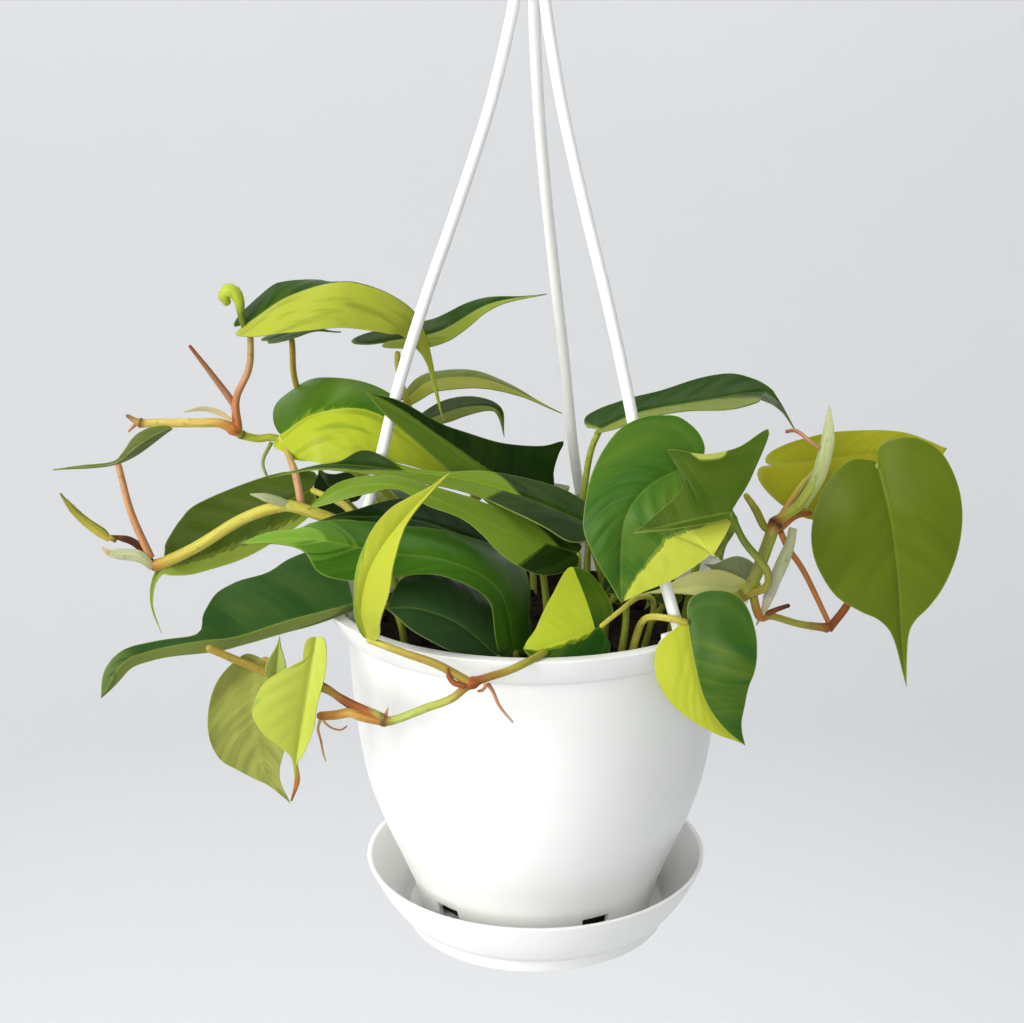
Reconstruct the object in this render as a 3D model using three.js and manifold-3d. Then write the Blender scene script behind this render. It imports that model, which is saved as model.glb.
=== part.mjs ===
// Potted brasil philodendron (Philodendron hederaceum 'Brasil') in a white hanging pot with a saucer.
// Millimetres, +Z up. While it is built, z = 0 is the plane under the saucer's foot; the finished
// group is then lowered so that the origin is the point of the hook that bears on a ceiling hook.

import * as THREE from 'three';
import { mergeVertices } from 'three/addons/utils/BufferGeometryUtils.js';
import Module from 'manifold-3d';

// Driving dimensions of the pot, saucer and hanger
const RIM_RADIUS = 80;
const RIM_TOP = 133;
const RIM_WIDTH = 5;
const BAND_RADIUS = 74;
const BAND_BOTTOM = 122.5;
const BODY_TOP_RADIUS = 70.4;
const POT_FOOT_RADIUS = 44.2;
const POT_FOOT_BOTTOM = 3.3;
const POT_FLOOR = 10;
const DRAIN = { radius: 3.5, circle: 30, count: 4 };
const WALL = 2.2;
const SOIL_TOP = 120;
const GAP = 0.3;
const SAUCER_RADIUS = 65.7;
const SAUCER_HEIGHT = 26;
const SAUCER_FOOT_RADIUS = 50.2;
const SAUCER_WALL = 1.8;
const SLOT = { bottom: 5, top: 18.4, width: 11, depth: 9, circle: 46.5, count: 5, firstAngle: 225.8 };
const ROD_RADIUS = 2.1;
const ROD_ANGLES = { rod_left: 197, rod_back: 74, rod_right: 310 };
const CROWN_BOTTOM = 352;
const CROWN_TOP = 364;
const CROWN_RADIUS = 9;
const HOOK_BEARING = 396;
const HOOK_INNER_RADIUS = 8;
const HOOK_WIRE_RADIUS = 2.2;

// Driving dimensions of the plant
const BLADE = 0.8;
const PETIOLE = 1.3;
const RIB_BLEND = 2;
const VEIN_SLANT = 0.8;
const ROUND = 36;

const wasm = await Module();
wasm.setup();

const plastic = () => new THREE.MeshStandardMaterial({ color: '#f4f3ef', roughness: 0.3, metalness: 0 });
const peat = () => new THREE.MeshStandardMaterial({ color: '#33251c', roughness: 0.95, metalness: 0 });
const plant = (color) => new THREE.MeshStandardMaterial({ color, roughness: 0.45, metalness: 0 });
const GREEN = '#3d7a2a';
const LIME = '#c3d63c';
const OLIVE = '#7f8f2c';
const TAN = '#a8ad63';
const VINE = '#b9a94a';

// Closed solids from three.js geometry, joined and cut by manifold-3d
function solid(geometry) {
  const g = geometry.clone();
  g.deleteAttribute('normal');
  g.deleteAttribute('uv');
  const merged = mergeVertices(g);
  const positions = merged.attributes.position.array;
  const triangles = Array.from(merged.index.array);
  const corner = (i) => new THREE.Vector3().fromArray(positions, 3 * i);
  let volume = 0;
  const faces = [];
  for (let i = 0; i < triangles.length; i += 3) {
    const [a, b, c] = triangles.slice(i, i + 3);
    if (a === b || b === c || c === a) continue;
    faces.push([a, b, c]);
    volume += corner(a).dot(corner(b).cross(corner(c)));
  }
  const outward = volume > 0 ? faces : faces.map(([a, b, c]) => [a, c, b]);
  return new wasm.Manifold(new wasm.Mesh({
    numProp: 3,
    vertProperties: new Float32Array(positions),
    triVerts: new Uint32Array(outward.flat()),
  }));
}

function geometryOf(manifold) {
  const mesh = manifold.getMesh();
  const geometry = new THREE.BufferGeometry();
  geometry.setAttribute('position', new THREE.BufferAttribute(new Float32Array(mesh.vertProperties), 3));
  geometry.setIndex(Array.from(mesh.triVerts));
  geometry.computeVertexNormals();
  return geometry;
}

// A body turned about Z from a closed profile of [radius, height] points
function turned(profile, segments = ROUND) {
  const outline = [...profile, profile[0]].map(([r, z]) => new THREE.Vector2(r, z));
  return solid(new THREE.LatheGeometry(outline, segments).rotateX(Math.PI / 2));
}

function box(size, centre, angle = 0) {
  const shape = new THREE.BoxGeometry(...size).translate(...centre);
  return solid(shape.rotateZ(THREE.MathUtils.degToRad(angle)));
}

function smooth(points) {
  return new THREE.CatmullRomCurve3(points.map((p) => new THREE.Vector3(...p)), false, 'catmullrom', 0.5);
}

// A round stem along a smooth path, tapered evenly from its first radius to its last
function stem(points, radius, tipRadius = radius, { sides = 6, step = 9 } = {}) {
  const path = smooth(points);
  const steps = Math.max(2, Math.round(path.getLength() / step));
  const frames = path.computeFrenetFrames(steps, false);
  const positions = [];
  const index = [];
  for (let i = 0; i <= steps; i += 1) {
    const centre = path.getPointAt(i / steps);
    const r = THREE.MathUtils.lerp(radius, tipRadius, i / steps);
    for (let j = 0; j < sides; j += 1) {
      const a = (2 * Math.PI * j) / sides;
      const p = centre.clone();
      p.addScaledVector(frames.normals[i], r * Math.cos(a)).addScaledVector(frames.binormals[i], r * Math.sin(a));
      positions.push(...p);
    }
  }
  positions.push(...path.getPointAt(0), ...path.getPointAt(1));
  const first = (steps + 1) * sides;
  for (let j = 0; j < sides; j += 1) {
    const k = (j + 1) % sides;
    for (let i = 0; i < steps; i += 1) {
      const row = i * sides;
      index.push(row + j, row + k, row + sides + k, row + j, row + sides + k, row + sides + j);
    }
    index.push(first, k, j, first + 1, steps * sides + j, steps * sides + k);
  }
  const geometry = new THREE.BufferGeometry();
  geometry.setAttribute('position', new THREE.Float32BufferAttribute(positions, 3));
  geometry.setIndex(index);
  return solid(geometry);
}

const group = new THREE.Group();

function add(name, manifold, material) {
  const mesh = new THREE.Mesh(geometryOf(manifold), material);
  mesh.name = name;
  group.add(mesh);
  return manifold;
}

// Pot: one moulding with a rolled band at the rim, a raised floor and drain slots where floor meets wall
let pot = turned([
  [POT_FOOT_RADIUS, POT_FOOT_BOTTOM], [45.2, 9], [46.6, 14.5], [49.6, 21.5], [53, 30], [57.4, 40.5], [61, 50],
  [64.6, 62], [67.2, 78], [69.2, 98], [BODY_TOP_RADIUS, BAND_BOTTOM - 1], [BAND_RADIUS, BAND_BOTTOM],
  [RIM_RADIUS, RIM_TOP], [RIM_RADIUS - RIM_WIDTH, RIM_TOP], [67, SOIL_TOP], [66.4, 98], [64.6, 78], [61.8, 62],
  [54.6, 40.5], [46.8, 21.5], [44, 14.5], [43, POT_FLOOR + WALL], [0, POT_FLOOR + WALL], [0, POT_FLOOR],
  [POT_FOOT_RADIUS - 1.4, POT_FLOOR], [POT_FOOT_RADIUS - WALL, POT_FOOT_BOTTOM],
]);
const slotAngles = Array.from({ length: SLOT.count }, (_, i) => SLOT.firstAngle + (360 * i) / SLOT.count);
for (const angle of slotAngles) {
  const centre = [SLOT.circle, 0, (SLOT.top + SLOT.bottom) / 2];
  pot = pot.subtract(box([SLOT.depth, SLOT.width, SLOT.top - SLOT.bottom], centre, angle));
}
for (let i = 0; i < DRAIN.count; i += 1) {
  const hole = new THREE.CylinderGeometry(DRAIN.radius, DRAIN.radius, 3 * WALL, 8).rotateX(Math.PI / 2);
  hole.translate(DRAIN.circle, 0, POT_FLOOR + WALL / 2).rotateZ((2 * Math.PI * i) / DRAIN.count);
  pot = pot.subtract(solid(hole));
}
add('pot', pot, plastic());

// Saucer: a shallow flared dish, held by snap lugs that reach into the pot's drain slots
const saucerInside = SAUCER_RADIUS - SAUCER_WALL;
let saucer = turned([
  [0, 1.6], [SAUCER_FOOT_RADIUS - 3, 1.6], [SAUCER_FOOT_RADIUS - 2, 0], [SAUCER_FOOT_RADIUS, 0], [51.8, 5.5],
  [54, 6.5], [60.2, 15], [SAUCER_RADIUS, SAUCER_HEIGHT], [saucerInside, SAUCER_HEIGHT], [58.4, 15.6],
  [52.4, 8], [49.6, 3], [0, 3],
]);
for (const angle of slotAngles) {
  saucer = saucer.add(box([1.8, 5, 6.6], [40.5, 0, 5.8], angle)).add(box([2.6, 5, 1.7], [42.3, 0, 6.15], angle));
}
add('saucer', saucer, plastic());

// Hanger: three slim moulded rods that run from a small crown down to clips astride the rim
const rodProfile = [[4.6, 358], [6.5, 344], [15, 311], [27, 277], [40, 243], [51.5, 209], [63, 168], [77.4, 134.4]];
const clip = new THREE.Shape([
  [72.4, 133.3], [70.2, 130], [71.9, 129], [74.6, 133.3], [80.4, 133.3], [80.4, 130.4], [82.2, 130.4],
  [82.2, 135.2], [72.4, 135.2],
].map(([r, z]) => new THREE.Vector2(r, z)));
function rodPath(degrees, profile) {
  const angle = THREE.MathUtils.degToRad(degrees);
  return profile.map(([r, z]) => [r * Math.cos(angle), r * Math.sin(angle), z]);
}
for (const [name, degrees] of Object.entries(ROD_ANGLES)) {
  const angle = THREE.MathUtils.degToRad(degrees);
  const path = rodPath(degrees, rodProfile);
  const clipShape = new THREE.ExtrudeGeometry(clip, { depth: 9, bevelEnabled: false });
  clipShape.translate(0, 0, -4.5).rotateX(Math.PI / 2).rotateZ(angle);
  add(name, stem(path, ROD_RADIUS, ROD_RADIUS, { sides: 8, step: 18 }).add(solid(clipShape)), plastic());
}

// Crown and hook: a small round boss that holds the rods' upper ends, with one open hook above it
const hookPath = [[0, 0, CROWN_TOP - 4], [0, 0, CROWN_TOP + 5], [1.2, 0, CROWN_TOP + 11]];
for (let degrees = -60; degrees <= 130; degrees += 19) {
  const a = THREE.MathUtils.degToRad(degrees);
  const reach = HOOK_INNER_RADIUS + HOOK_WIRE_RADIUS;
  const centre = HOOK_BEARING - HOOK_INNER_RADIUS;
  hookPath.push([reach * Math.cos(a), 0, centre + reach * Math.sin(a)]);
}
let crown = turned([
  [0, CROWN_BOTTOM], [CROWN_RADIUS - 1, CROWN_BOTTOM], [CROWN_RADIUS, CROWN_BOTTOM + 1.5],
  [CROWN_RADIUS, CROWN_TOP - 4], [CROWN_RADIUS - 4, CROWN_TOP], [0, CROWN_TOP],
], 24).add(stem(hookPath, HOOK_WIRE_RADIUS, HOOK_WIRE_RADIUS, { sides: 8, step: 5 }));
for (const degrees of Object.values(ROD_ANGLES)) {
  const socket = rodPath(degrees, rodProfile.slice(0, 3));
  crown = crown.subtract(stem(socket, ROD_RADIUS + GAP, ROD_RADIUS + GAP, { sides: 8, step: 18 }));
}
add('hanger_crown', crown, plastic());

// Vines: each is one stem with its nodes, its dry sheaths and its aerial roots grown together
const vines = {};
function vine(name, color, pieces) {
  const [first, ...others] = pieces.map(({ path, radius }) => stem(path, ...radius));
  vines[name] = { body: others.reduce((a, b) => a.add(b), first), pieces };
  add(name, vines[name].body, plant(color));
}

vine('vine_upper_left', VINE, [
  { path: [[-36, 10, 110], [-43, 16, 134], [-54, 26, 159], [-75, 34, 173], [-94, 28, 181], [-111, 18, 189],
    [-125, 16, 193], [-140, 15, 194], [-152, 14, 195]], radius: [2.2, 1.6] },
  { path: [[-110, 18, 188], [-111, 18, 191]], radius: [3, 3] },
  { path: [[-111, 18, 189], [-113, 16, 200], [-119, 14, 211], [-127, 14, 222]], radius: [1.7, 0.7] },
  { path: [[-100, 24, 183], [-103, 20, 176], [-100, 18, 168]], radius: [0.9, 0.6] },
]);
vine('vine_left', VINE, [
  { path: [[-36, -14, 110], [-44, -20, 140], [-62, -27, 160], [-80, -25, 171], [-109, -24, 161], [-139, -20, 149]],
    radius: [2.3, 2.2] },
  { path: [[-141, -20, 149], [-137, -20, 150]], radius: [3, 3] },
  { path: [[-139, -20, 149], [-144, -20, 155], [-152, -20, 158]], radius: [2, 1.6] },
  { path: [[-138, -21, 149], [-148, -23, 152], [-156, -23, 155]], radius: [1.4, 0.7] },
]);
vine('vine_front', VINE, [
  { path: [[12, -46, 110], [9, -54, 126], [2, -64, 136], [-6, -74, 137.5], [-14, -84, 134.5], [-22, -88, 129],
    [-35, -84, 119], [-51, -77, 111], [-63, -74, 109], [-73, -71, 108], [-80, -68, 113], [-88, -66, 123],
    [-100, -68, 129], [-111, -70, 135]], radius: [2, 1.4] },
  { path: [[-24, -88, 128], [-20, -88, 130]], radius: [3, 3] },
  { path: [[-53, -76, 111], [-49, -78, 112]], radius: [2.8, 2.8] },
  { path: [[-89, -66, 122], [-86, -66, 122]], radius: [2.5, 2.5] },
  { path: [[-22, -88, 129], [-15, -90, 124], [-8, -90, 115]], radius: [1, 0.6] },
]);
vine('vine_right', VINE, [
  { path: [[50, -26, 110], [55, -34, 126], [64, -41, 141], [73, -43, 144], [80, -41, 156], [84, -38, 167],
    [88, -36, 172], [92, -34, 178]], radius: [2.3, 1.5] },
  { path: [[83, -38, 165], [85, -38, 170]], radius: [3.2, 3.2] },
  { path: [[76, -42, 146], [82, -40, 135], [94, -36, 130], [105, -33, 127]], radius: [1.8, 1.7] },
  { path: [[103, -33, 127], [107, -33, 127]], radius: [2.4, 2.4] },
  { path: [[86, -37, 163], [96, -35, 149], [105, -33, 128]], radius: [1.2, 1.2] },
  { path: [[84, -38, 167], [78, -41, 174], [72, -43, 181]], radius: [1.7, 1.2] },
  { path: [[86, -36, 168], [96, -28, 178], [101, -20, 188], [105, -14, 204]], radius: [1.4, 0.8] },
]);

// Leaves: a heart-shaped blade folded along its rib, with its petiole grown on as one piece.
// An edge lists [share of the rib's length, share of the half width] from the petiole to the tip.
const HEART = [[0, 0], [-0.12, 0.06], [-0.21, 0.3], [-0.2, 0.6], [-0.08, 0.87], [0.22, 1], [0.45, 0.86],
  [0.64, 0.48], [0.78, 0.18], [0.88, 0.07], [1, 0]];
const SLIM = [[0, 0], [-0.05, 0.3], [0.02, 0.66], [0.22, 1], [0.45, 0.86], [0.64, 0.48], [0.8, 0.15], [1, 0]];

function edgeRow(edge, length, width, rows) {
  const curve = smooth(edge.map(([x, y]) => [x * length, y * width, 0]));
  return curve.getSpacedPoints(rows).map((p) => [p.x, Math.max(p.y, 0)]);
}

function blade({ rib, face, faceTip = face, half, fold = [0, 0], foldTip = fold, curl = [0, 0], curlTip = curl,
  edge = [HEART, HEART], rows = 8, columns = 2 }) {
  const path = smooth(rib);
  const length = path.getLength();
  const start = path.getTangentAt(0);
  const facing = [face, faceTip].map((v) => new THREE.Vector3(...v).normalize());
  const radians = (pair) => pair.map(THREE.MathUtils.degToRad);
  const [f0, f1, c0, c1] = [fold, foldTip, curl, curlTip].map(radians);

  // Point and upward normal of the blade at x along the rib and y out from it, on one side
  function place(x, y, side) {
    const share = THREE.MathUtils.clamp(x / length, 0, 1);
    const along = path.getTangentAt(share);
    const up = facing[0].clone().lerp(facing[1], share);
    up.addScaledVector(along, -up.dot(along)).normalize();
    const across = new THREE.Vector3().crossVectors(along, up);
    const sign = side ? 1 : -1;
    const bend = THREE.MathUtils.lerp(f0[side], f1[side], share);
    const turn = THREE.MathUtils.lerp(c0[side], c1[side], share) || 1e-4;
    const angle = bend + (turn * y) / half[side];
    const out = (half[side] * (Math.sin(angle) - Math.sin(bend))) / turn;
    const rise = (half[side] * (Math.cos(bend) - Math.cos(angle))) / turn;
    const point = path.getPointAt(share).addScaledVector(start, Math.min(x, 0));
    point.addScaledVector(across, sign * out).addScaledVector(up, rise);

    // Near the rib both sides lean towards one shared normal, so the skins of a steep fold don't cross
    const tilted = (a, s) => up.clone().multiplyScalar(Math.cos(a)).addScaledVector(across, -s * Math.sin(a));
    const otherBend = THREE.MathUtils.lerp(f0[1 - side], f1[1 - side], share);
    const shared = tilted(bend, sign).add(tilted(otherBend, -sign)).normalize();
    return [point, shared.lerp(tilted(angle, sign), Math.min(1, y / RIB_BLEND))];
  }

  const points = [];
  const normals = [];
  const faces = [];
  function store(x, y, side) {
    const [point, normal] = place(x, y, side);
    points.push(point);
    normals.push(normal);
    return points.length - 1;
  }
  // Each row runs forwards from the rib to the margin, as the leaf's veins do
  const rims = [0, 1].map((side) => edgeRow(edge[side], length, half[side], rows));
  const ribX = [0];
  for (let row = 1; row < rows; row += 1) {
    const vein = rims.reduce((sum, rim) => sum + (rim[row][0] - VEIN_SLANT * rim[row][1]) / 2, 0);
    ribX.push(Math.max(vein, ribX[row - 1] + length / 50));
  }
  ribX.push(length);
  const ribPoints = ribX.map((x) => store(x, 0, 1));
  const margins = [];
  for (const side of [0, 1]) {
    const grid = ribPoints.map((ribPoint, row) => {
      const inner = row > 0 && row < rows;
      const [edgeX, edgeY] = rims[side][row];
      return Array.from({ length: columns + 1 }, (_, column) => {
        if (!inner || column === 0) return ribPoint;
        const t = column / columns;
        return store(ribX[row] + (edgeX - ribX[row]) * t, edgeY * t, side);
      });
    });
    for (let i = 0; i < rows; i += 1) {
      for (let j = 0; j < columns; j += 1) {
        const quad = [grid[i][j], grid[i + 1][j], grid[i + 1][j + 1], grid[i][j + 1]];
        const [a, b, c, d] = side ? quad : [quad[0], quad[3], quad[2], quad[1]];
        faces.push([a, b, c], [a, c, d]);
      }
    }
    margins.push(grid.slice(1, rows).map((row) => row[columns]));
  }

  // Both skins share their triangles, half the thickness above and below, with a wall round the margin
  const skin = (lift) => points.map((p, i) => p.clone().addScaledVector(normals[i], lift));
  const positions = [...skin(BLADE / 2), ...skin(-BLADE / 2)].flatMap((p) => [...p]);
  const under = points.length;
  const loop = [ribPoints[0], ...margins[1], ribPoints[rows], ...margins[0].reverse()];
  const wall = loop.flatMap((a, i) => {
    const b = loop[(i + 1) % loop.length];
    return [[a, b, a + under], [a + under, b, b + under]];
  });
  const index = [...faces, ...faces.map(([a, b, c]) => [c + under, b + under, a + under]), ...wall].flat();
  const geometry = new THREE.BufferGeometry();
  geometry.setAttribute('position', new THREE.Float32BufferAttribute(positions, 3));
  geometry.setIndex(index);
  return solid(geometry);
}

// Clearance left round a stem where it stands in the soil or where a petiole springs from a vine
function clearance(pieces, shape) {
  const bodies = pieces.map(({ path, radius: [foot, tip] }) => stem(path, foot + GAP, tip + GAP, shape));
  return bodies.reduce((a, b) => a.add(b));
}

const STALK = { sides: 5, step: 13 };
const rooted = Object.values(vines).map(({ pieces }) => [pieces[0], {}]);
function leaf(name, color, { on, petiole, radius = [PETIOLE + 0.3, PETIOLE], ...shape }) {
  const stalk = { path: petiole, radius };
  let body = blade(shape).add(stem(petiole, ...radius, STALK));
  if (on) body = body.subtract(clearance(vines[on].pieces));
  else rooted.push([stalk, STALK]);
  add(name, body, plant(color));
}

// Leaves at the upper left
leaf('leaf_crown_lime', LIME, {
  rib: [[-105, 12, 231], [-88, 8, 242], [-68, 6, 247], [-49, 8, 240], [-40, 12, 227], [-34, 16, 193]],
  face: [0, -0.15, 1], faceTip: [0.75, -0.5, 0.5], half: [15, 20],
  fold: [35, -16], foldTip: [-75, -40], curl: [-20, -25],
  edge: [[[0, 0], [-0.08, 0.3], [-0.06, 0.8], [0.05, 1], [0.25, 0.95], [0.5, 0.8], [0.75, 0.4], [1, 0]],
    [[0, 0], [-0.13, 0.1], [-0.1, 0.3], [0, 0.45], [0.09, 0.75], [0.2, 1], [0.36, 1], [0.55, 0.8], [0.71, 0.37],
      [0.8, 0.12], [1, 0]]],
  on: 'vine_upper_left', petiole: [[-111, 17, 190], [-111, 15, 202], [-105, 12, 215], [-104, 12, 231]],
});
leaf('leaf_crown_under', GREEN, {
  rib: [[-92, 34, 221], [-82, 40, 223], [-67, 44, 220]], face: [0, 0, 1], half: [12, 14], rows: 7,
  petiole: [[-32, 26, 110], [-52, 44, 140], [-78, 52, 172], [-92, 47, 198], [-92, 34, 221]],
});
leaf('leaf_crown_narrow', GREEN, {
  rib: [[-52, 34, 216], [-36, 38, 222], [-17, 40, 233], [5, 44, 236]], face: [0, -0.3, 1], half: [9, 8],
  fold: [10, 5], rows: 7,
  petiole: [[-24, 30, 110], [-41, 38, 169], [-51, 36, 204], [-52, 34, 216]],
});
leaf('leaf_rear_arch', OLIVE, {
  rib: [[-50, 52, 194], [-39, 54, 201], [-17, 56, 200], [11, 58, 186]], face: [0, -0.2, 1], half: [9, 8],
  fold: [-5, -15], edge: [SLIM, SLIM], rows: 8,
  petiole: [[-16, 38, 110], [-36, 46, 150], [-51, 52, 184], [-50, 52, 194]],
});
leaf('leaf_rear_low', OLIVE, {
  rib: [[-44, 64, 182], [-28, 66, 187], [-15, 66, 186], [-12, 64, 175]], face: [0, -0.2, 1], half: [9, 8],
  fold: [5, -5], edge: [SLIM, SLIM], rows: 8,
  petiole: [[-6, 44, 110], [-22, 55, 148], [-36, 62, 174], [-44, 64, 182]],
});
leaf('leaf_left_lime', LIME, {
  rib: [[-96, 20, 187], [-82, 16, 196], [-63, 14, 198], [-44, 12, 188], [-27, 14, 172]],
  face: [0, -0.35, 1], faceTip: [0.3, -0.4, 1], half: [19, 20], fold: [18, -25], curl: [-20, -20],
  edge: [[[0, 0], [-0.04, 0.5], [-0.06, 1.1], [-0.04, 1.5], [0.05, 1.6], [0.27, 1], [0.45, 0.7], [0.8, 0.3], [1, 0]],
    [[0, 0], [-0.05, 0.15], [0, 0.4], [0.06, 0.75], [0.22, 1.05], [0.42, 1.05], [0.6, 0.8], [0.77, 0.55],
      [0.92, 0.25], [1, 0]]],
  on: 'vine_left', petiole: [[-82, -24, 172], [-84, -12, 177], [-91, 6, 182], [-96, 20, 187]],
});

// Leaves over the middle of the pot
leaf('leaf_centre_peak', GREEN, {
  rib: [[-2, -6, 166], [-23, -12, 184], [-41, -19, 200], [-59, -25, 213]],
  face: [-0.25, -0.55, 0.8], half: [8, 30], fold: [-20, 10], curl: [0, -10],
  edge: [[[0, 0], [0, 0.5], [0.2, 1], [0.6, 0.8], [0.85, 0.5], [1, 0]],
    [[0, 0], [-0.04, 0.34], [0.03, 0.6], [0.06, 0.86], [0.07, 1], [0.14, 0.77], [0.39, 0.35], [0.59, 0.18],
      [0.83, 0.13], [1, 0]]],
  petiole: [[6, -6, 110], [3, -6, 140], [-2, -6, 166]],
});
leaf('leaf_centre_over', OLIVE, {
  rib: [[18, -35, 168], [-2, -32, 176], [-22, -30, 182], [-47, -30, 186], [-71, -30, 188], [-93, -32, 184]],
  face: [0, -0.12, 1], half: [10, 15], fold: [-5, 16], curl: [0, -10],
  edge: [[[0, 0], [-0.03, 0.8], [0.02, 1.6], [0.11, 1.4], [0.26, 1.1], [0.46, 0.8], [0.6, 0.6], [0.75, 0.5],
    [0.9, 0.1], [1, 0]],
  [[0, 0], [0, 0.6], [0.1, 0.85], [0.2, 0.75], [0.35, 0.45], [0.48, 0.12], [0.58, 0.25], [0.68, 0.7],
    [0.76, 0.15], [0.86, 0.06], [1, 0]]],
  petiole: [[24, -28, 110], [25, -32, 140], [18, -35, 168]],
});
leaf('leaf_centre_under', LIME, {
  rib: [[15, -44, 160], [-5, -47, 167], [-22, -47.5, 175], [-36, -46, 181], [-50, -43, 184.5], [-66, -40, 182],
    [-79, -38, 174]],
  face: [0, -0.5, 1], half: [14, 9], fold: [-28, 0], curl: [-10, 0],
  edge: [[[0, 0], [0, 0.4], [0.1, 0.8], [0.19, 0.75], [0.27, 0.55], [0.33, 0.35], [0.42, 0.2], [0.53, 0.25],
    [0.65, 0.1], [0.77, 0.25], [0.88, 0.25], [1, 0]],
  [[0, 0], [0, 0.5], [0.2, 1], [0.4, 0.8], [0.6, 0.5], [0.85, 0.5], [0.95, 0.2], [1, 0]]],
  petiole: [[12, -36, 110], [15, -40, 140], [15, -44, 160]],
});
leaf('leaf_mid_dark', GREEN, {
  rib: [[-16, -30, 158], [-40, -32, 168], [-65, -36, 171], [-79, -40, 169]], face: [0, -0.4, 1], half: [12, 14],
  petiole: [[-8, -24, 110], [-11, -27, 140], [-16, -30, 158]], edge: [SLIM, SLIM],
});
leaf('leaf_back_dark', GREEN, {
  rib: [[-70, 0, 167], [-77, 2, 173], [-80, 4, 179]], face: [0, -0.6, 0.8], half: [10, 10], rows: 6,
  petiole: [[-46, 0, 110], [-57, 0, 150], [-70, 0, 167]],
});

// Leaves at the left
leaf('leaf_left_back', OLIVE, {
  rib: [[-82, -4, 172], [-108, -8, 160], [-126, -12, 151], [-138, -12, 143], [-141, -14, 132], [-138, -14, 119]],
  face: [0, -0.8, 0.6], half: [11, 15], fold: [-10, 10],
  edge: [[[0, 0], [0, 0.5], [0.1, 0.9], [0.35, 1.1], [0.56, 0.8], [0.68, 0.4], [0.74, 0.1], [1, 0]],
    [[0, 0], [-0.05, 0.3], [0.03, 0.6], [0.16, 0.8], [0.43, 0.95], [0.53, 0.8], [0.63, 0.5], [0.7, 0.12], [1, 0]]],
  on: 'vine_left', petiole: [[-64, -25, 162], [-68, -14, 168], [-82, -4, 172]],
});
leaf('leaf_left_edge', OLIVE, {
  rib: [[-129, -16, 198], [-148, -18, 186], [-172, -20, 184]], face: [0, -0.3, 1], half: [6, 6],
  fold: [50, 50], edge: [SLIM, SLIM], rows: 7,
  on: 'vine_left', petiole: [[-139, -20, 151], [-145, -20, 168], [-149, -18, 186]],
});
leaf('leaf_left_spear', OLIVE, {
  rib: [[-154, -20, 159], [-163, -20, 166], [-170, -20, 175]], face: [0, -0.3, 1], half: [3, 3],
  fold: [70, 70], edge: [SLIM, SLIM], rows: 6,
  on: 'vine_left', petiole: [[-151, -20, 157.6], [-154, -20, 159]], radius: [1, 1],
});
leaf('leaf_left_dark', GREEN, {
  rib: [[-64, -40, 140], [-86, -46, 136], [-104, -52, 132], [-116, -56, 132], [-132, -60, 130], [-141, -64, 127],
    [-149, -66, 115]],
  face: [0, -0.6, 0.8], half: [10, 20], fold: [-90, 10], curl: [0, -15],
  edge: [[[0, 0], [0, 0.4], [0.13, 0.8], [0.3, 0.8], [0.43, 0.7], [0.54, 0.9], [0.72, 0.7], [0.91, 0.6], [1, 0]],
    [[0, 0], [0, 0.8], [0.07, 1.3], [0.17, 1.3], [0.26, 1.1], [0.37, 1.1], [0.48, 0.95], [0.54, 0.55],
      [0.57, 0.15], [0.7, 0.15], [0.9, 0.2], [1, 0]]],
  petiole: [[-46, -28, 110], [-50, -31, 134], [-64, -40, 140]],
});

// Leaves over the front of the rim
leaf('leaf_front_big', GREEN, {
  rib: [[-7, -50, 126], [-12, -56, 150], [-29, -60, 162], [-52, -62, 166], [-75, -66, 172], [-98, -72, 172]],
  face: [0.4, -0.5, 0.8], faceTip: [0, -0.5, 0.8], half: [24, 22], fold: [-10, 0], curl: [-20, -30],
  edge: [[[0, 0], [0.02, 0.3], [0.26, 0.37], [0.45, 0.52], [0.6, 0.58], [0.7, 0.55], [0.77, 0.5], [0.82, 0.2],
    [0.9, 0.06], [1, 0]],
  [[0, 0], [-0.08, 0.5], [-0.04, 1], [0.09, 1.2], [0.22, 1.1], [0.34, 0.8], [0.5, 0.7], [0.6, 0.72],
    [0.77, 0.4], [0.83, 0.2], [0.91, 0.17], [1, 0]]],
  petiole: [[-4, -44, 110], [-7, -50, 126]],
});
leaf('leaf_front_dark', GREEN, {
  rib: [[-13, -57, 127], [-26, -61, 140], [-39, -63, 146], [-50, -65, 147]],
  face: [0.2, -0.6, 0.8], half: [12, 14.5], fold: [-10, 0], curl: [0, -30],
  edge: [[[0, 0], [0, 0.3], [0.18, 0.6], [0.48, 0.9], [0.8, 0.7], [0.95, 0.2], [1, 0]],
    [[0, 0], [-0.08, 0.3], [0.03, 0.8], [0.15, 1.3], [0.35, 1.65], [0.55, 1.55], [0.74, 1], [0.86, 0.7],
      [0.96, 0.26], [1, 0]]],
  petiole: [[-13, -49, 110], [-13, -57, 127]],
});
leaf('leaf_front_fold', LIME, {
  rib: [[-56, -76, 140], [-57, -82, 152], [-54, -88, 166], [-48, -92, 178], [-39, -92, 189], [-26, -92, 202]],
  face: [-0.1, -1, 0.2], half: [14, 13], fold: [62, 52],
  edge: [[[0, 0], [0.02, 0.15], [0.09, 0.28], [0.26, 0.39], [0.4, 0.57], [0.51, 0.69], [0.61, 0.8], [0.71, 0.75],
    [0.79, 0.5], [0.88, 0.2], [1, 0]],
  [[0, 0], [0.05, 0.6], [0.22, 1], [0.42, 1.2], [0.54, 0.85], [0.64, 0.45], [0.72, 0.2], [0.85, 0.06], [1, 0]]],
  on: 'vine_front', petiole: [[-23, -88, 130], [-32, -87, 135], [-44, -83, 138], [-56, -76, 140]],
});
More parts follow.
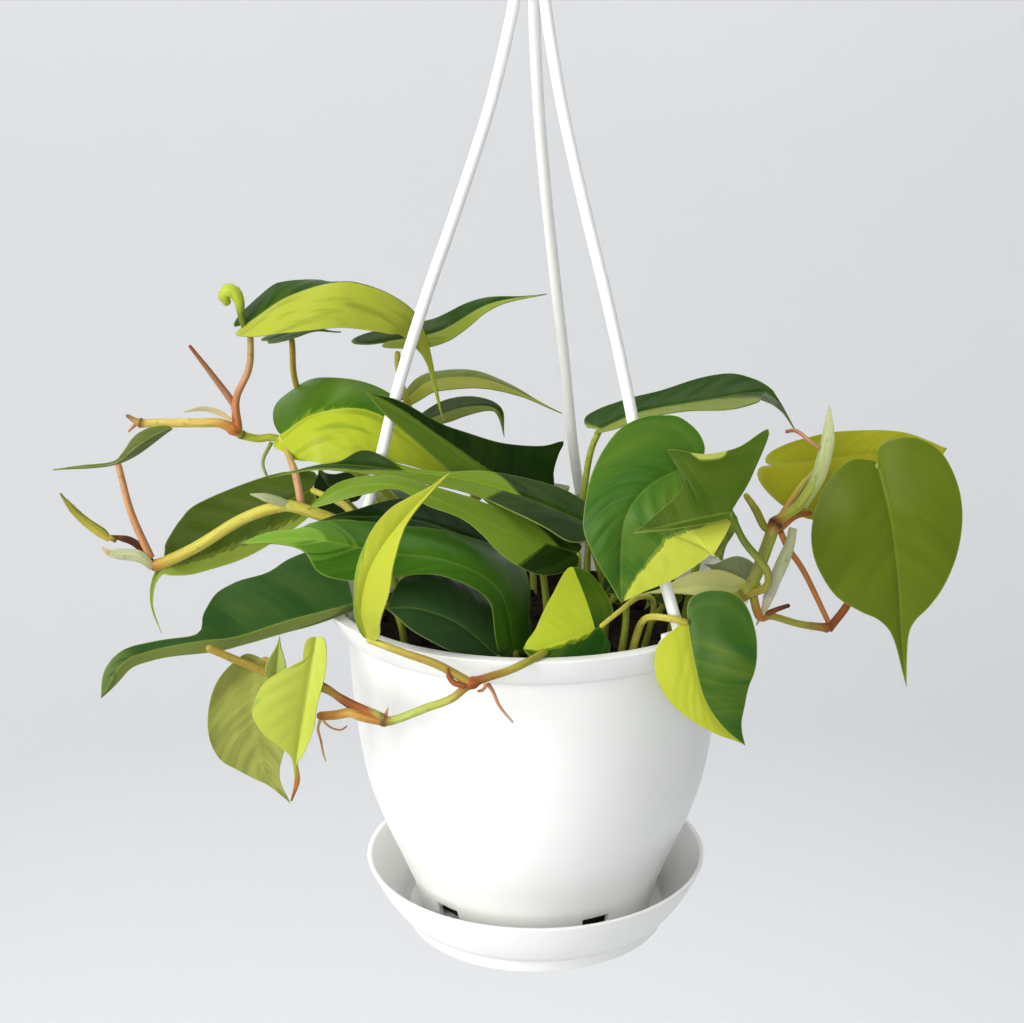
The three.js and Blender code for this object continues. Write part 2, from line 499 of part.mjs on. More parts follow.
leaf('leaf_front_heart', LIME, {
  rib: [[22, -65, 140], [12, -70, 138], [3, -73, 136], [-4, -74, 135.6]],
  face: [0.2, -0.8, 0.6], half: [10, 22], fold: [-40, 10], curl: [-20, -10],
  edge: [[[0, 0], [-0.05, 0.48], [0.18, 0.68], [0.56, 0.49], [0.91, 0.18], [1, 0]],
    [[0, 0], [-0.18, 0.05], [-0.24, 0.22], [-0.22, 0.5], [-0.15, 0.82], [0.01, 1.01], [0.15, 0.99], [0.53, 0.61],
      [0.89, 0.2], [1, 0]]],
  petiole: [[38, -24, 110], [42, -38, 138], [36, -54, 147], [28, -62, 144], [22, -65, 140]],
});

// Leaves hanging at the lower left
leaf('leaf_low_tan', TAN, {
  rib: [[-94, -60, 127], [-96, -62, 113], [-96, -61, 95], [-93, -58, 81], [-87, -56, 71]],
  face: [0, 1, 0], half: [15, 16], fold: [-10, -10], curl: [-20, -20],
  edge: [[[0, 0], [-0.02, 0.4], [0.09, 0.8], [0.2, 1.04], [0.32, 1.15], [0.44, 1.14], [0.56, 0.97], [0.65, 0.65],
    [0.75, 0.34], [0.84, 0.1], [1, 0]],
  [[0, 0], [0, 0.4], [0.14, 0.76], [0.36, 0.79], [0.58, 0.55], [0.78, 0.23], [1, 0]]],
  on: 'vine_front', petiole: [[-88, -66, 123], [-90, -62, 126], [-94, -60, 127]], radius: [1.2, 1.1],
});
leaf('leaf_low_lime', LIME, {
  rib: [[-73, -74, 140], [-76, -78, 123], [-79, -80, 107], [-81, -82, 95], [-82, -82, 86]],
  face: [0.2, -1, 0.1], half: [7, 17], fold: [30, 10], curl: [0, -20],
  edge: [[[0, 0], [0, 0.4], [0.09, 0.64], [0.24, 0.74], [0.43, 0.6], [0.62, 0.6], [0.8, 0.3], [0.86, 0.05], [1, 0]],
    [[0, 0], [0.02, 0.18], [0.1, 0.22], [0.19, 0.22], [0.25, 0.56], [0.36, 0.9], [0.55, 1.02], [0.68, 0.76],
      [0.76, 0.41], [0.84, 0.1], [1, 0]]],
  on: 'vine_front', petiole: [[-51, -77, 112], [-62, -76, 117], [-71, -75.5, 122], [-76, -77.5, 123]],
});
leaf('leaf_low_small', OLIVE, {
  rib: [[-88, -70, 123], [-87, -70, 131], [-86, -70, 139]], face: [0, -1, 0.2], half: [4, 4], fold: [30, 30],
  edge: [SLIM, SLIM], rows: 6,
  on: 'vine_front', petiole: [[-87, -66.5, 123], [-88, -70, 123]], radius: [0.9, 0.9],
});

// Leaves at the right
leaf('leaf_right_low', GREEN, {
  rib: [[52, -64, 141], [54, -70, 129], [56, -72, 117], [62, -72, 108], [72, -68, 98]],
  face: [-0.1, -1, 0.2], half: [24, 13], fold: [10, 20], curl: [-30, -10],
  edge: [[[0, 0], [-0.1, 0.02], [-0.17, 0.12], [-0.19, 0.38], [-0.15, 0.68], [-0.04, 0.88], [0.15, 0.95],
    [0.33, 0.9], [0.55, 0.82], [0.7, 0.72], [0.79, 0.5], [0.85, 0.3], [0.94, 0.13], [1, 0]],
  [[0, 0], [0, 0.2], [0.03, 0.4], [0.1, 0.81], [0.19, 1.03], [0.32, 1.08], [0.45, 0.91], [0.57, 0.63],
    [0.72, 0.34], [0.88, 0.1], [1, 0]]],
  petiole: [[32, -46, 110], [35, -50, 130], [38, -59, 141], [46, -65, 143], [52, -64, 141]],
});
leaf('leaf_right_big', GREEN, {
  rib: [[54, -52, 194], [39, -58, 188], [31, -62, 179], [29, -64, 167], [29, -66, 149]],
  face: [-0.2, -0.8, 0.6], faceTip: [0.1, -0.9, 0.5], half: [34, 23], fold: [5, 15], curl: [-5, -25],
  edge: [[[0, 0], [-0.07, 0.3], [-0.03, 0.61], [0.05, 0.8], [0.2, 0.95], [0.4, 1], [0.58, 0.98], [0.7, 0.86],
    [0.79, 0.73], [0.88, 0.49], [0.94, 0.22], [1, 0]],
  [[0, 0], [-0.08, 0.07], [-0.11, 0.29], [-0.1, 0.53], [-0.05, 0.8], [0.08, 0.97], [0.22, 0.99], [0.32, 0.88],
    [0.42, 0.75], [0.53, 0.62], [0.61, 0.57], [0.71, 0.44], [0.84, 0.24], [1, 0]]],
  petiole: [[52, -16, 110], [57, -23, 143], [60, -36, 170], [54, -52, 194]],
});
leaf('leaf_right_olive', OLIVE, {
  rib: [[64, -74, 183], [51, -76, 181], [32, -78, 177]], face: [0.1, -0.6, 0.8], half: [4, 30], fold: [-50, 25],
  edge: [[[0, 0], [0.05, 0.5], [0.32, 0.6], [0.65, 0.4], [1, 0]],
    [[0, 0], [-0.14, 0.16], [-0.3, 0.35], [-0.58, 0.82], [-0.22, 0.69], [0.15, 0.69], [0.46, 0.82], [0.35, 0.56],
      [0.44, 0.34], [0.74, 0.14], [1, 0]]],
  on: 'vine_right', petiole: [[74, -43, 144], [80, -49, 149], [79, -54, 157], [70, -64, 170], [64, -74, 183]],
});
leaf('leaf_right_arch', GREEN, {
  rib: [[24, 2, 193], [39, 4, 199], [61, 4, 203], [81, 4, 206], [88, 2, 204], [95, 0, 193]],
  face: [0, -0.2, 1], half: [15, 14], fold: [8, 10],
  edge: [[[0, 0], [-0.05, 0.3], [-0.03, 0.68], [0.05, 0.75], [0.15, 0.68], [0.3, 0.7], [0.45, 0.95], [0.56, 1.03],
    [0.66, 0.94], [0.74, 0.55], [0.82, 0.1], [1, 0]],
  [[0, 0], [-0.03, 0.2], [0.05, 0.5], [0.18, 0.7], [0.42, 0.85], [0.58, 1.4], [0.7, 1.2], [0.82, 0.6],
    [0.91, 0.12], [1, 0]]],
  petiole: [[10, 4, 110], [16, 2, 150], [20, 2, 181], [24, 2, 193]],
});
leaf('leaf_right_gold', OLIVE, {
  rib: [[105, 6, 183], [125, 10, 183], [154, 14, 183]], face: [0, -0.7, 0.7], half: [14, 24], fold: [5, -5],
  edge: [[[0, 0], [-0.3, 0.05], [-0.5, 0.15], [-0.52, 0.45], [-0.35, 0.8], [-0.1, 1], [0.3, 1], [0.7, 0.7], [1, 0]],
    [[0, 0], [-0.3, 0.01], [-0.5, 0.03], [-0.53, 0.2], [-0.46, 0.5], [-0.3, 0.85], [-0.1, 1], [0.15, 0.95],
      [0.5, 0.9], [0.8, 0.5], [1, 0]]],
  on: 'vine_right', petiole: [[85, -37, 169], [96, -16, 176], [103, -2, 180], [105, 6, 183]],
});
leaf('leaf_right_heart', OLIVE, {
  rib: [[119, -34, 189], [124, -38, 170], [128, -37, 147], [131, -34, 124], [134, -32, 105]],
  face: [0, -1, 0.15], half: [24.5, 25.5], fold: [8, 8], curl: [-15, -15],
  edge: [[[0, 0], [-0.06, 0.07], [-0.08, 0.27], [-0.06, 0.61], [0.02, 0.9], [0.15, 1.02], [0.28, 1], [0.42, 0.87],
    [0.54, 0.65], [0.63, 0.41], [0.69, 0.2], [0.77, 0.09], [1, 0]],
  [[0, 0], [-0.02, 0.1], [-0.04, 0.34], [-0.01, 0.58], [0.05, 0.83], [0.16, 1.05], [0.28, 1.13], [0.4, 1.08],
    [0.53, 0.88], [0.61, 0.58], [0.67, 0.3], [0.77, 0.12], [1, 0]]],
  on: 'vine_right', petiole: [[105, -32, 127], [114, -26, 138], [119, -24, 160], [119, -34, 189]],
});
leaf('leaf_right_pale', TAN, {
  rib: [[75, -30, 142], [59, -34, 143], [36, -40, 144]], face: [0, -0.4, 1], half: [6, 6], fold: [20, -30],
  edge: [SLIM, SLIM], rows: 7,
  on: 'vine_right', petiole: [[76, -41, 148], [79, -35, 145], [75, -30, 142]], radius: [1, 1],
});
leaf('leaf_right_grey', OLIVE, {
  rib: [[76, -20, 138], [70, -22, 145], [61, -23, 149]], face: [0, -0.8, 0.5], half: [7, 8], rows: 6,
  petiole: [[40, 4, 110], [54, -4, 134], [68, -14, 141], [76, -20, 138]], edge: [SLIM, SLIM],
});
leaf('leaf_inner_a', GREEN, {
  rib: [[32, -40, 145], [27, -42, 147], [23, -44, 143]], face: [0, -0.8, 0.5], half: [6, 6], rows: 6,
  petiole: [[29, -38, 110], [32, -38, 130], [32, -40, 145]],
});
leaf('leaf_inner_b', GREEN, {
  rib: [[49, -28, 141], [43, -32, 140], [39, -33, 135]], face: [0, -0.8, 0.5], half: [6, 6], rows: 6,
  petiole: [[48, -20, 110], [50, -24, 130], [49, -28, 141]],
});

// Leaves at the back, which the photograph hides
leaf('leaf_back_left', GREEN, {
  rib: [[-40, 62, 150], [-50, 77, 148], [-55, 89, 134], [-54, 94, 112]], face: [-0.2, 0.5, 1],
  faceTip: [-0.2, 1, 0.1], half: [21, 21], fold: [8, 8], curl: [-20, -20],
  petiole: [[-27, 34, 110], [-34, 52, 142], [-40, 62, 150]],
});
leaf('leaf_back_mid', LIME, {
  rib: [[-6, 70, 152], [-5, 86, 148], [-3, 98, 132], [-5, 102, 110]], face: [0, 0.5, 1], faceTip: [0.1, 1, 0.1],
  half: [20, 20], fold: [8, 8], curl: [-20, -20],
  petiole: [[0, 34, 110], [-2, 54, 142], [-6, 70, 152]],
});
leaf('leaf_back_right', GREEN, {
  rib: [[50, 48, 150], [62, 58, 149], [74, 68, 137], [78, 74, 116]], face: [0.4, 0.4, 1], faceTip: [0.7, 0.8, 0.1],
  half: [20, 20], fold: [8, 8], curl: [-20, -20],
  petiole: [[28, 24, 110], [38, 36, 140], [50, 48, 150]],
});
leaf('leaf_back_high', GREEN, {
  rib: [[22, 20, 160], [36, 30, 167], [48, 42, 166], [56, 54, 156]], face: [0.1, 0.3, 1], faceTip: [0.4, 0.6, 1],
  half: [17, 17], fold: [10, 10], curl: [-15, -15],
  petiole: [[20, 8, 110], [20, 12, 138], [22, 20, 160]],
});
leaf('leaf_back_inner', GREEN, {
  rib: [[-6, 8, 150], [-12, 20, 156], [-14, 32, 154], [-12, 42, 146]], face: [0, 0.3, 1], half: [14, 14],
  fold: [10, 10], curl: [-15, -15],
  petiole: [[-4, 2, 110], [-4, 4, 134], [-6, 8, 150]],
});

// Soil: a fill that follows the pot's inside, with a plain hole round every stem that stands in it
const fill = [
  [66.6, SOIL_TOP], [66, 98], [64.2, 78], [61.4, 62], [54.2, 40.5], [46.4, 21.5], [43.6, 14.5],
  [42.6, POT_FLOOR + WALL + GAP],
];
const soil = rooted.reduce(
  (body, [stalk, shape]) => body.subtract(clearance([stalk], shape)),
  turned([...fill, [0, POT_FLOOR + WALL + GAP], [0, SOIL_TOP]]),
);
add('soil', soil, peat());

group.position.z = -HOOK_BEARING;

export default group;
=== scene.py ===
from itertools import count
from math import cos, pi, radians, sin

import bmesh
import bpy
import numpy as np
from mathutils import Matrix, Vector, noise


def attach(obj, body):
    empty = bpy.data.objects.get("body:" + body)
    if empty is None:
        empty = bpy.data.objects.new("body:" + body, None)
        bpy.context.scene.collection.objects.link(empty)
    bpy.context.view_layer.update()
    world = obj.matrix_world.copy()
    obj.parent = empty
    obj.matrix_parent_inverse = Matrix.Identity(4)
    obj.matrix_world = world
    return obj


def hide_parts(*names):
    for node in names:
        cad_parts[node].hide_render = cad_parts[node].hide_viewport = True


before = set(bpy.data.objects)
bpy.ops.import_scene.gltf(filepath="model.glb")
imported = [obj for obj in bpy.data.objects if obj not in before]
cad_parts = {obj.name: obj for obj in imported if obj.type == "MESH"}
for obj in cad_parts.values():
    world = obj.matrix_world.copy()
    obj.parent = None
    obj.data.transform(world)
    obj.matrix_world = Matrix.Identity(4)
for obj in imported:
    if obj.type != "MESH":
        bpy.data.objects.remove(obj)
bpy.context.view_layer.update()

# Stage: a pale, matt studio floor far below the hanging pot, which rises all round into a wall.
# Soft light comes from a large window at the left, and lamps above the view wash the wall.
# Lengths are millimetres with z = 0 under the saucer's foot, until a piece is finished.
HOOK_BEARING = 396
CAMERA_PLACE = (0, -640.2, 346.3)
CAMERA_YAW, CAMERA_PITCH, CAMERA_ROLL = -0.013, 0.280, -0.007
CAMERA_FOCAL, CAMERA_SENSOR = 63.28, 36
FLOOR_DROP, FLOOR_FLAT, WALL_RADIUS, WALL_TOP = 1000, 2600, 3600, 2600
COVE_STEPS, FLOOR_STEPS = 12, 96
BOARD_MOTTLE = 1250
WELD = 0.001


def linear(colour):
    """The linear colour, with alpha, of an sRGB hex value."""
    shares = [int(colour[i:i + 2], 16) / 255 for i in (1, 3, 5)]
    return [s / 12.92 if s <= 0.04045 else ((s + 0.055) / 1.055) ** 2.4 for s in shares] + [1]


def add_node(tree, kind, inputs=(), **settings):
    """Adds a shader node. Inputs that are sockets are linked, and the others are set. Sockets that
    share a name go by number: a colour mix has its share at 0 and its two colours at 6 and 7."""
    made = tree.nodes.new("ShaderNode" + kind)
    for name, value in settings.items():
        setattr(made, name, value)
    for socket, value in dict(inputs).items():
        if isinstance(value, bpy.types.NodeSocket):
            tree.links.new(value, made.inputs[socket])
        else:
            made.inputs[socket].default_value = value
    return made


def surface(name, **settings):
    """A new material with its node tree and its Principled shader, set up."""
    material = bpy.data.materials.new(name)
    material.use_nodes = True
    shader = material.node_tree.nodes["Principled BSDF"]
    for socket, value in settings.items():
        shader.inputs[socket.replace("_", " ")].default_value = value
    return material, material.node_tree, shader


def finish(bm, name, *materials, crisp=35):
    """Makes an object of a bmesh, moved from pot millimetres to the row's frame in metres."""
    lower = Matrix.Translation((0, 0, -HOOK_BEARING))
    bmesh.ops.transform(bm, matrix=Matrix.Scale(0.001, 4) @ lower, verts=bm.verts)
    mesh = bpy.data.meshes.new(name)
    bm.to_mesh(mesh)
    bm.free()
    for material in materials:
        mesh.materials.append(material)
    mesh.shade_smooth()
    mesh.set_sharp_from_angle(angle=radians(crisp))
    made = bpy.data.objects.new(name, mesh)
    bpy.context.scene.collection.objects.link(made)
    return made


def lathe(bm, profile, steps=128, start=0):
    """Spins a [radius, height] profile, closed but for its part on the axis, into a shell."""
    turn = Matrix.Rotation(start, 4, "Z")
    points = [bm.verts.new(turn @ Vector((r, 0, z))) for r, z in profile]
    pairs = zip(points, points[1:] + points[:1])
    lines = [bm.edges.new(p) for p in pairs if max(v.co.xy.length for v in p) > 0]
    bmesh.ops.spin(bm, geom=points + lines, cent=(0, 0, 0), axis=(0, 0, 1), dvec=(0, 0, 0),
                   angle=2 * pi, steps=steps, use_merge=True)
    bmesh.ops.remove_doubles(bm, verts=bm.verts, dist=WELD)
    bmesh.ops.recalc_face_normals(bm, faces=bm.faces)


# Matt emulsion rolled on board: it has no gloss, and a mottle over a metre wide that barely shows.
board, tree, shader = surface("matt_painted_board", Roughness=0.9, Specular_IOR_Level=0.2)
place = add_node(tree, "TexCoord")
mottle = add_node(tree, "TexNoise", {"Vector": place.outputs["Object"], "Scale": 1000 / BOARD_MOTTLE,
                                     "Detail": 2})
tone = add_node(tree, "Mix", {0: mottle.outputs["Fac"], 6: linear("#dddee0"), 7: linear("#e2e3e4")},
                data_type="RGBA")
tree.links.new(tone.outputs[2], shader.inputs["Base Color"])
bm = bmesh.new()
sweep = [(0, -FLOOR_DROP), (FLOOR_FLAT, -FLOOR_DROP)]
cove = WALL_RADIUS - FLOOR_FLAT
for step in range(1, COVE_STEPS + 1):
    angle = step / COVE_STEPS * pi / 2
    sweep.append((FLOOR_FLAT + cove * sin(angle), -FLOOR_DROP + cove * (1 - cos(angle))))
points = [bm.verts.new((r, 0, z)) for r, z in sweep + [(WALL_RADIUS, WALL_TOP)]]
lines = [bm.edges.new(pair) for pair in zip(points, points[1:])]
bmesh.ops.spin(bm, geom=points + lines, cent=(0, 0, 0), axis=(0, 0, 1), dvec=(0, 0, 0),
               angle=2 * pi, steps=FLOOR_STEPS, use_merge=True)
bmesh.ops.remove_doubles(bm, verts=bm.verts, dist=WELD)
bmesh.ops.recalc_face_normals(bm, faces=bm.faces)
floor = finish(bm, "studio_floor", board)

# The camera stands in front of the pot and above its rim, and looks a little down at it
heading = Vector((sin(CAMERA_YAW) * cos(CAMERA_PITCH), cos(CAMERA_YAW) * cos(CAMERA_PITCH),
                  -sin(CAMERA_PITCH)))
level = Vector((cos(CAMERA_YAW), -sin(CAMERA_YAW), 0))
upward = level.cross(heading)
right = cos(CAMERA_ROLL) * level + sin(CAMERA_ROLL) * upward
upward = cos(CAMERA_ROLL) * upward - sin(CAMERA_ROLL) * level
camera = bpy.data.objects.new("camera", bpy.data.cameras.new("camera"))
camera.data.lens = CAMERA_FOCAL
camera.data.sensor_width = CAMERA_SENSOR
camera.data.clip_end = 50
place = (Vector(CAMERA_PLACE) - Vector((0, 0, HOOK_BEARING))) / 1000
camera.matrix_world = Matrix.Translation(place) @ Matrix((right, upward, -heading)).transposed().to_4x4()
bpy.context.scene.collection.objects.link(camera)
bpy.context.scene.camera = camera


def softbox(name, place, aim, size, power, colour):
    """A square studio light at a place in the row's frame, turned towards a point."""
    lamp = bpy.data.lights.new(name, "AREA")
    lamp.size = size
    lamp.energy = power
    lamp.color = linear(colour)[:3]
    light = bpy.data.objects.new(name, lamp)
    light.location = place
    light.rotation_euler = (Vector(aim) - Vector(place)).to_track_quat("-Z", "Y").to_euler()
    light.visible_camera = False
    bpy.context.scene.collection.objects.link(light)


POT_MIDDLE = (0, 0, -0.28)
softbox("window", (-1.6, -1.1, 0.55), POT_MIDDLE, 1.2, 36, "#fffefa")
softbox("front", (-0.3, -2.1, 0.4), POT_MIDDLE, 1.0, 21, "#ffffff")
softbox("rear_fill", (1.1, 1.9, 0.5), POT_MIDDLE, 1.2, 5, "#ffffff")
softbox("back_wash", (0, 0.9, 1.5), (0, 3.4, -0.5), 1.6, 40, "#fffefc")
softbox("left_wash", (-1.0, 0.2, 1.6), (-3.4, 0.4, -0.5), 1.6, 20, "#fdfeff")
world = bpy.data.worlds.new("studio_air")
world.use_nodes = True
world.node_tree.nodes["Background"].inputs["Color"].default_value = linear("#f4f7fb")
world.node_tree.nodes["Background"].inputs["Strength"].default_value = 0.36
bpy.context.scene.world = world
bpy.context.scene.view_settings.view_transform = "Standard"
bpy.context.scene.view_settings.gamma = 0.88

# Pot: one injection moulding of white polypropylene, with a rolled band at the rim, a raised
# floor and five drain slots where the floor meets the wall. Its corners are rounded by the mould.
RIM_RADIUS, RIM_TOP = 80, 133
POT_FOOT, FLOOR_UNDER, FLOOR_TOP = 3.3, 10, 12.2
SLOT_COUNT, SLOT_FIRST = 5, radians(225.8)
SLOT_BOTTOM, SLOT_TOP = 5, 18.4
POT_FACES, SLOT_FACES = 110, 4
POT_CORNER = 0.6
DUST_PATCH, MOULD_WAVE = 16.7, 28.6


class SmoothPath:
    """The smooth curve through a few points, read by distance along it."""

    SPAN = 24

    def __init__(self, points):
        p = np.array(points, float)
        ends = np.vstack([2 * p[0] - p[1], p, 2 * p[-1] - p[-2]])
        t = np.linspace(0, 1, self.SPAN, endpoint=False)[:, None]
        spans = [b + (c - a) * t / 2 + (2 * a - 5 * b + 4 * c - d) * t ** 2 / 2
                 + (3 * b - a - 3 * c + d) * t ** 3 / 2
                 for a, b, c, d in zip(ends, ends[1:], ends[2:], ends[3:])]
        self.dense = np.vstack(spans + [p[-1:]])
        steps = np.linalg.norm(np.diff(self.dense, axis=0), axis=1)
        self.travel = np.concatenate([[0], np.cumsum(steps)])
        self.knots = self.travel[::self.SPAN]
        self.length = self.travel[-1]

    def at(self, distance):
        """The points at some distances along the curve."""
        columns = [np.interp(distance, self.travel, column) for column in self.dense.T]
        return np.stack(columns, -1)

    def heading(self, distance, reach=0.5):
        """The unit vectors along the curve at some distances."""
        ahead = np.minimum(distance + reach, self.length)
        behind = np.maximum(distance - reach, 0)
        way = self.at(ahead) - self.at(behind)
        return way / np.linalg.norm(way, axis=-1, keepdims=True)

    def spaced(self, spacing):
        """Points along the whole curve, about as far apart as the spacing."""
        return self.at(np.linspace(0, self.length, max(2, round(self.length / spacing)) + 1))


def round_corners(bm, width, sharper_than=32, segments=3):
    """Rounds every edge that turns by more than an angle in degrees."""
    sharp = [e for e in bm.edges if e.is_manifold and e.calc_face_angle() > radians(sharper_than)]
    bmesh.ops.bevel(bm, geom=sharp, offset=width, segments=segments, affect="EDGES",
                    profile=0.5, material=-1, clamp_overlap=True)


# Moulded polypropylene: a smooth, slightly waxy gloss with a little light passing into the wall,
# and the faint waviness of a thin moulding. Handling leaves fine dull patches.
white_plastic, tree, shader = surface(
    "moulded_white_polypropylene", IOR=1.49, Subsurface_Weight=0.12, Subsurface_Scale=0.004)
shader.inputs["Subsurface Radius"].default_value = (1, 0.95, 0.9)
place = add_node(tree, "TexCoord")
dust = add_node(tree, "TexNoise", {"Vector": place.outputs["Object"], "Scale": 1000 / DUST_PATCH,
                                   "Detail": 5})
tone = add_node(tree, "Mix", {0: dust.outputs["Fac"], 6: linear("#efefec"), 7: linear("#f5f5f3")},
                data_type="RGBA")
tree.links.new(tone.outputs[2], shader.inputs["Base Color"])
gloss = add_node(tree, "MapRange", {"Value": dust.outputs["Fac"], "To Min": 0.24, "To Max": 0.36})
tree.links.new(gloss.outputs["Result"], shader.inputs["Roughness"])
wave = add_node(tree, "TexNoise", {"Vector": place.outputs["Object"], "Scale": 1000 / MOULD_WAVE,
                                   "Detail": 1})
bump = add_node(tree, "Bump", {"Height": wave.outputs["Fac"], "Strength": 0.15, "Distance": 0.001})
tree.links.new(bump.outputs["Normal"], shader.inputs["Normal"])

outside = SmoothPath([(48.3, SLOT_TOP), (49.6, 21.5), (53, 30), (57.4, 40.5), (61, 50), (64.6, 62),
                      (67.2, 78), (69.2, 98), (70.4, 121.5)]).spaced(5)
inside = SmoothPath([(66.8, 120), (66.4, 98), (64.6, 78), (61.8, 62), (54.6, 40.5),
                     (46.8, 21.5)]).spaced(8)
slot_turn = 2 * pi / SLOT_COUNT
half_slot = SLOT_FACES * pi / POT_FACES
bm = bmesh.new()
lathe(bm, [(44.2, POT_FOOT), (44.5, SLOT_BOTTOM), *outside, (73.6, 122.6), (74.6, 123.6), (76.9, 127.5),
           (79.2, 131.6), (RIM_RADIUS, RIM_TOP), (75, RIM_TOP), (70.6, 126.5), *inside,
           (45.7, SLOT_TOP), (42.3, SLOT_BOTTOM), (42, POT_FOOT)],
      steps=POT_FACES, start=SLOT_FIRST - half_slot)


def off_slot(point):
    """Angle from a point to the nearest slot's middle."""
    return abs((np.arctan2(point.y, point.x) - SLOT_FIRST + slot_turn / 2) % slot_turn - slot_turn / 2)


# The slots are cut out of both skins of the wall, and their four sides are closed
walls = [f for f in bm.faces if SLOT_BOTTOM < f.calc_center_median().z < SLOT_TOP]
bmesh.ops.delete(bm, geom=[f for f in walls if off_slot(f.calc_center_median()) < half_slot],
                 context="FACES")
near = cos(slot_turn / 2)
for number in range(SLOT_COUNT):
    way = Matrix.Rotation(SLOT_FIRST + slot_turn * number, 4, "Z") @ Vector((1, 0, 0))
    reveal = [e for e in bm.edges if e.is_boundary and e.verts[0].co.xy.normalized().dot(way.xy) > near]
    bmesh.ops.bridge_loops(bm, edges=reveal)
bmesh.ops.recalc_face_normals(bm, faces=bm.faces)
round_corners(bm, POT_CORNER)
lathe(bm, [(43.1, FLOOR_UNDER), (44.4, FLOOR_TOP), (0, FLOOR_TOP), (0, FLOOR_UNDER)], steps=POT_FACES)
pot = finish(bm, "white_pot", white_plastic)
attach(pot, "root")
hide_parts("pot")

# Saucer: a shallow flared dish, moulded in the same white plastic. Five snap lugs on its floor
# reach into the pot's drain slots and hold it. A lug is a stem with a nose, and each has its
# distance from the axis, its middle height, its depth and its height.
DISH_UNDER, DISH_TOP = 1.6, 3
DISH_CORNER = 0.5
LUG_STEM = (40.5, 5.8, 1.8, 6.6)
LUG_NOSE = (42.3, 6.15, 2.6, 1.7)
LUG_WIDTH = 5

flare = SmoothPath([(51.8, 5.5), (54, 6.5), (60.2, 15), (65.7, 26)]).spaced(3)
hollow = SmoothPath([(63.9, 26), (58.4, 15.6), (52.4, 8), (49.6, DISH_TOP)]).spaced(4)
bm = bmesh.new()
lathe(bm, [(0, DISH_UNDER), (47.2, DISH_UNDER), (48.2, 0), (50.2, 0), (51.4, 4.6), *flare, *hollow,
           (0, DISH_TOP)])
round_corners(bm, DISH_CORNER)
for number in range(SLOT_COUNT):
    turn = Matrix.Rotation(SLOT_FIRST + slot_turn * number, 4, "Z")
    for reach, height, depth, tall in (LUG_STEM, LUG_NOSE):
        size = Matrix.Diagonal((depth, LUG_WIDTH, tall, 1))
        bmesh.ops.create_cube(bm, size=1, matrix=turn @ Matrix.Translation((reach, 0, height)) @ size)
saucer = finish(bm, "white_saucer", white_plastic)
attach(saucer, "root")
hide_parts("saucer")

# Soil: dark peat mix that fills the pot to below the rim, pressed in round the stems. Its top is
# lumpy, falls a little towards the wall and has loose crumbs and bits of bark on it.
SOIL_TOP, SOIL_FOOT = 120, 12.5
SOIL_FACES, RING_SPACING = 96, 3
SOIL_DIP, SOIL_FALL = 1.5, 0.025
MOUND_WIDTH, MOUND_HEIGHT = 14, 2.2
CLOD_WIDTH, CLOD_HEIGHT = 3.5, 1.1
CRUMBS, CRUMB_SPREAD, CRUMB_SINK = 420, 64, 1.2
CRUMB_LEAST, CRUMB_EXTRA = 0.7, 2.2
PEAT_GRAIN = 2.38

# Damp peat: nearly black brown, matt, with lighter fibres and the odd reddish bit of bark.
peat, tree, shader = surface("damp_peat_mix", Roughness=0.95, Specular_IOR_Level=0.2)
place = add_node(tree, "TexCoord")
grains = add_node(tree, "TexNoise", {"Vector": place.outputs["Object"], "Scale": 1000 / PEAT_GRAIN,
                                     "Detail": 6})
ramp = add_node(tree, "ValToRGB", {"Fac": grains.outputs["Fac"]})
ramp.color_ramp.elements[0].color = linear("#0d0805")
ramp.color_ramp.elements[0].position = 0.35
ramp.color_ramp.elements[1].color = linear("#3a281a")
ramp.color_ramp.elements[1].position = 0.75
tree.links.new(ramp.outputs["Color"], shader.inputs["Base Color"])
bump = add_node(tree, "Bump", {"Height": grains.outputs["Fac"], "Strength": 0.8, "Distance": 0.001})
tree.links.new(bump.outputs["Normal"], shader.inputs["Normal"])

filling = SmoothPath([(66.4, 119), (66, 98), (64.2, 78), (61.4, 62), (54.2, 40.5), (46.4, 21.5),
                      (43.6, 14.5)]).spaced(6)
bm = bmesh.new()
rings = [(r, SOIL_TOP) for r in range(0, 66, RING_SPACING)]
lathe(bm, [*rings, *filling, (42.6, SOIL_FOOT), (0, SOIL_FOOT)], steps=SOIL_FACES)
for vert in bm.verts:
    if vert.co.z > SOIL_TOP - 0.5:
        mound = MOUND_HEIGHT * noise.noise(vert.co / MOUND_WIDTH)
        clod = CLOD_HEIGHT * noise.noise(vert.co / CLOD_WIDTH)
        vert.co.z += mound + clod - SOIL_DIP - SOIL_FALL * vert.co.xy.length
draws = np.random.default_rng(7)
for crumb in range(CRUMBS):
    reach = CRUMB_SPREAD * draws.random() ** 0.5
    way = 2 * pi * draws.random()
    size = CRUMB_LEAST + CRUMB_EXTRA * draws.random() ** 3
    height = SOIL_TOP - CRUMB_SINK - SOIL_FALL * reach
    place = Matrix.Translation((reach * cos(way), reach * sin(way), height))
    turn = Matrix.Rotation(2 * pi * draws.random(), 4, draws.normal(size=3))
    shape = Matrix.Diagonal((size, size * (0.5 + draws.random()), size * 0.6, 1))
    bmesh.ops.create_icosphere(bm, subdivisions=1, radius=1, matrix=place @ turn @ shape)
soil = finish(bm, "soil_filling", peat, crisp=60)
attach(soil, "root")
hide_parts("soil")

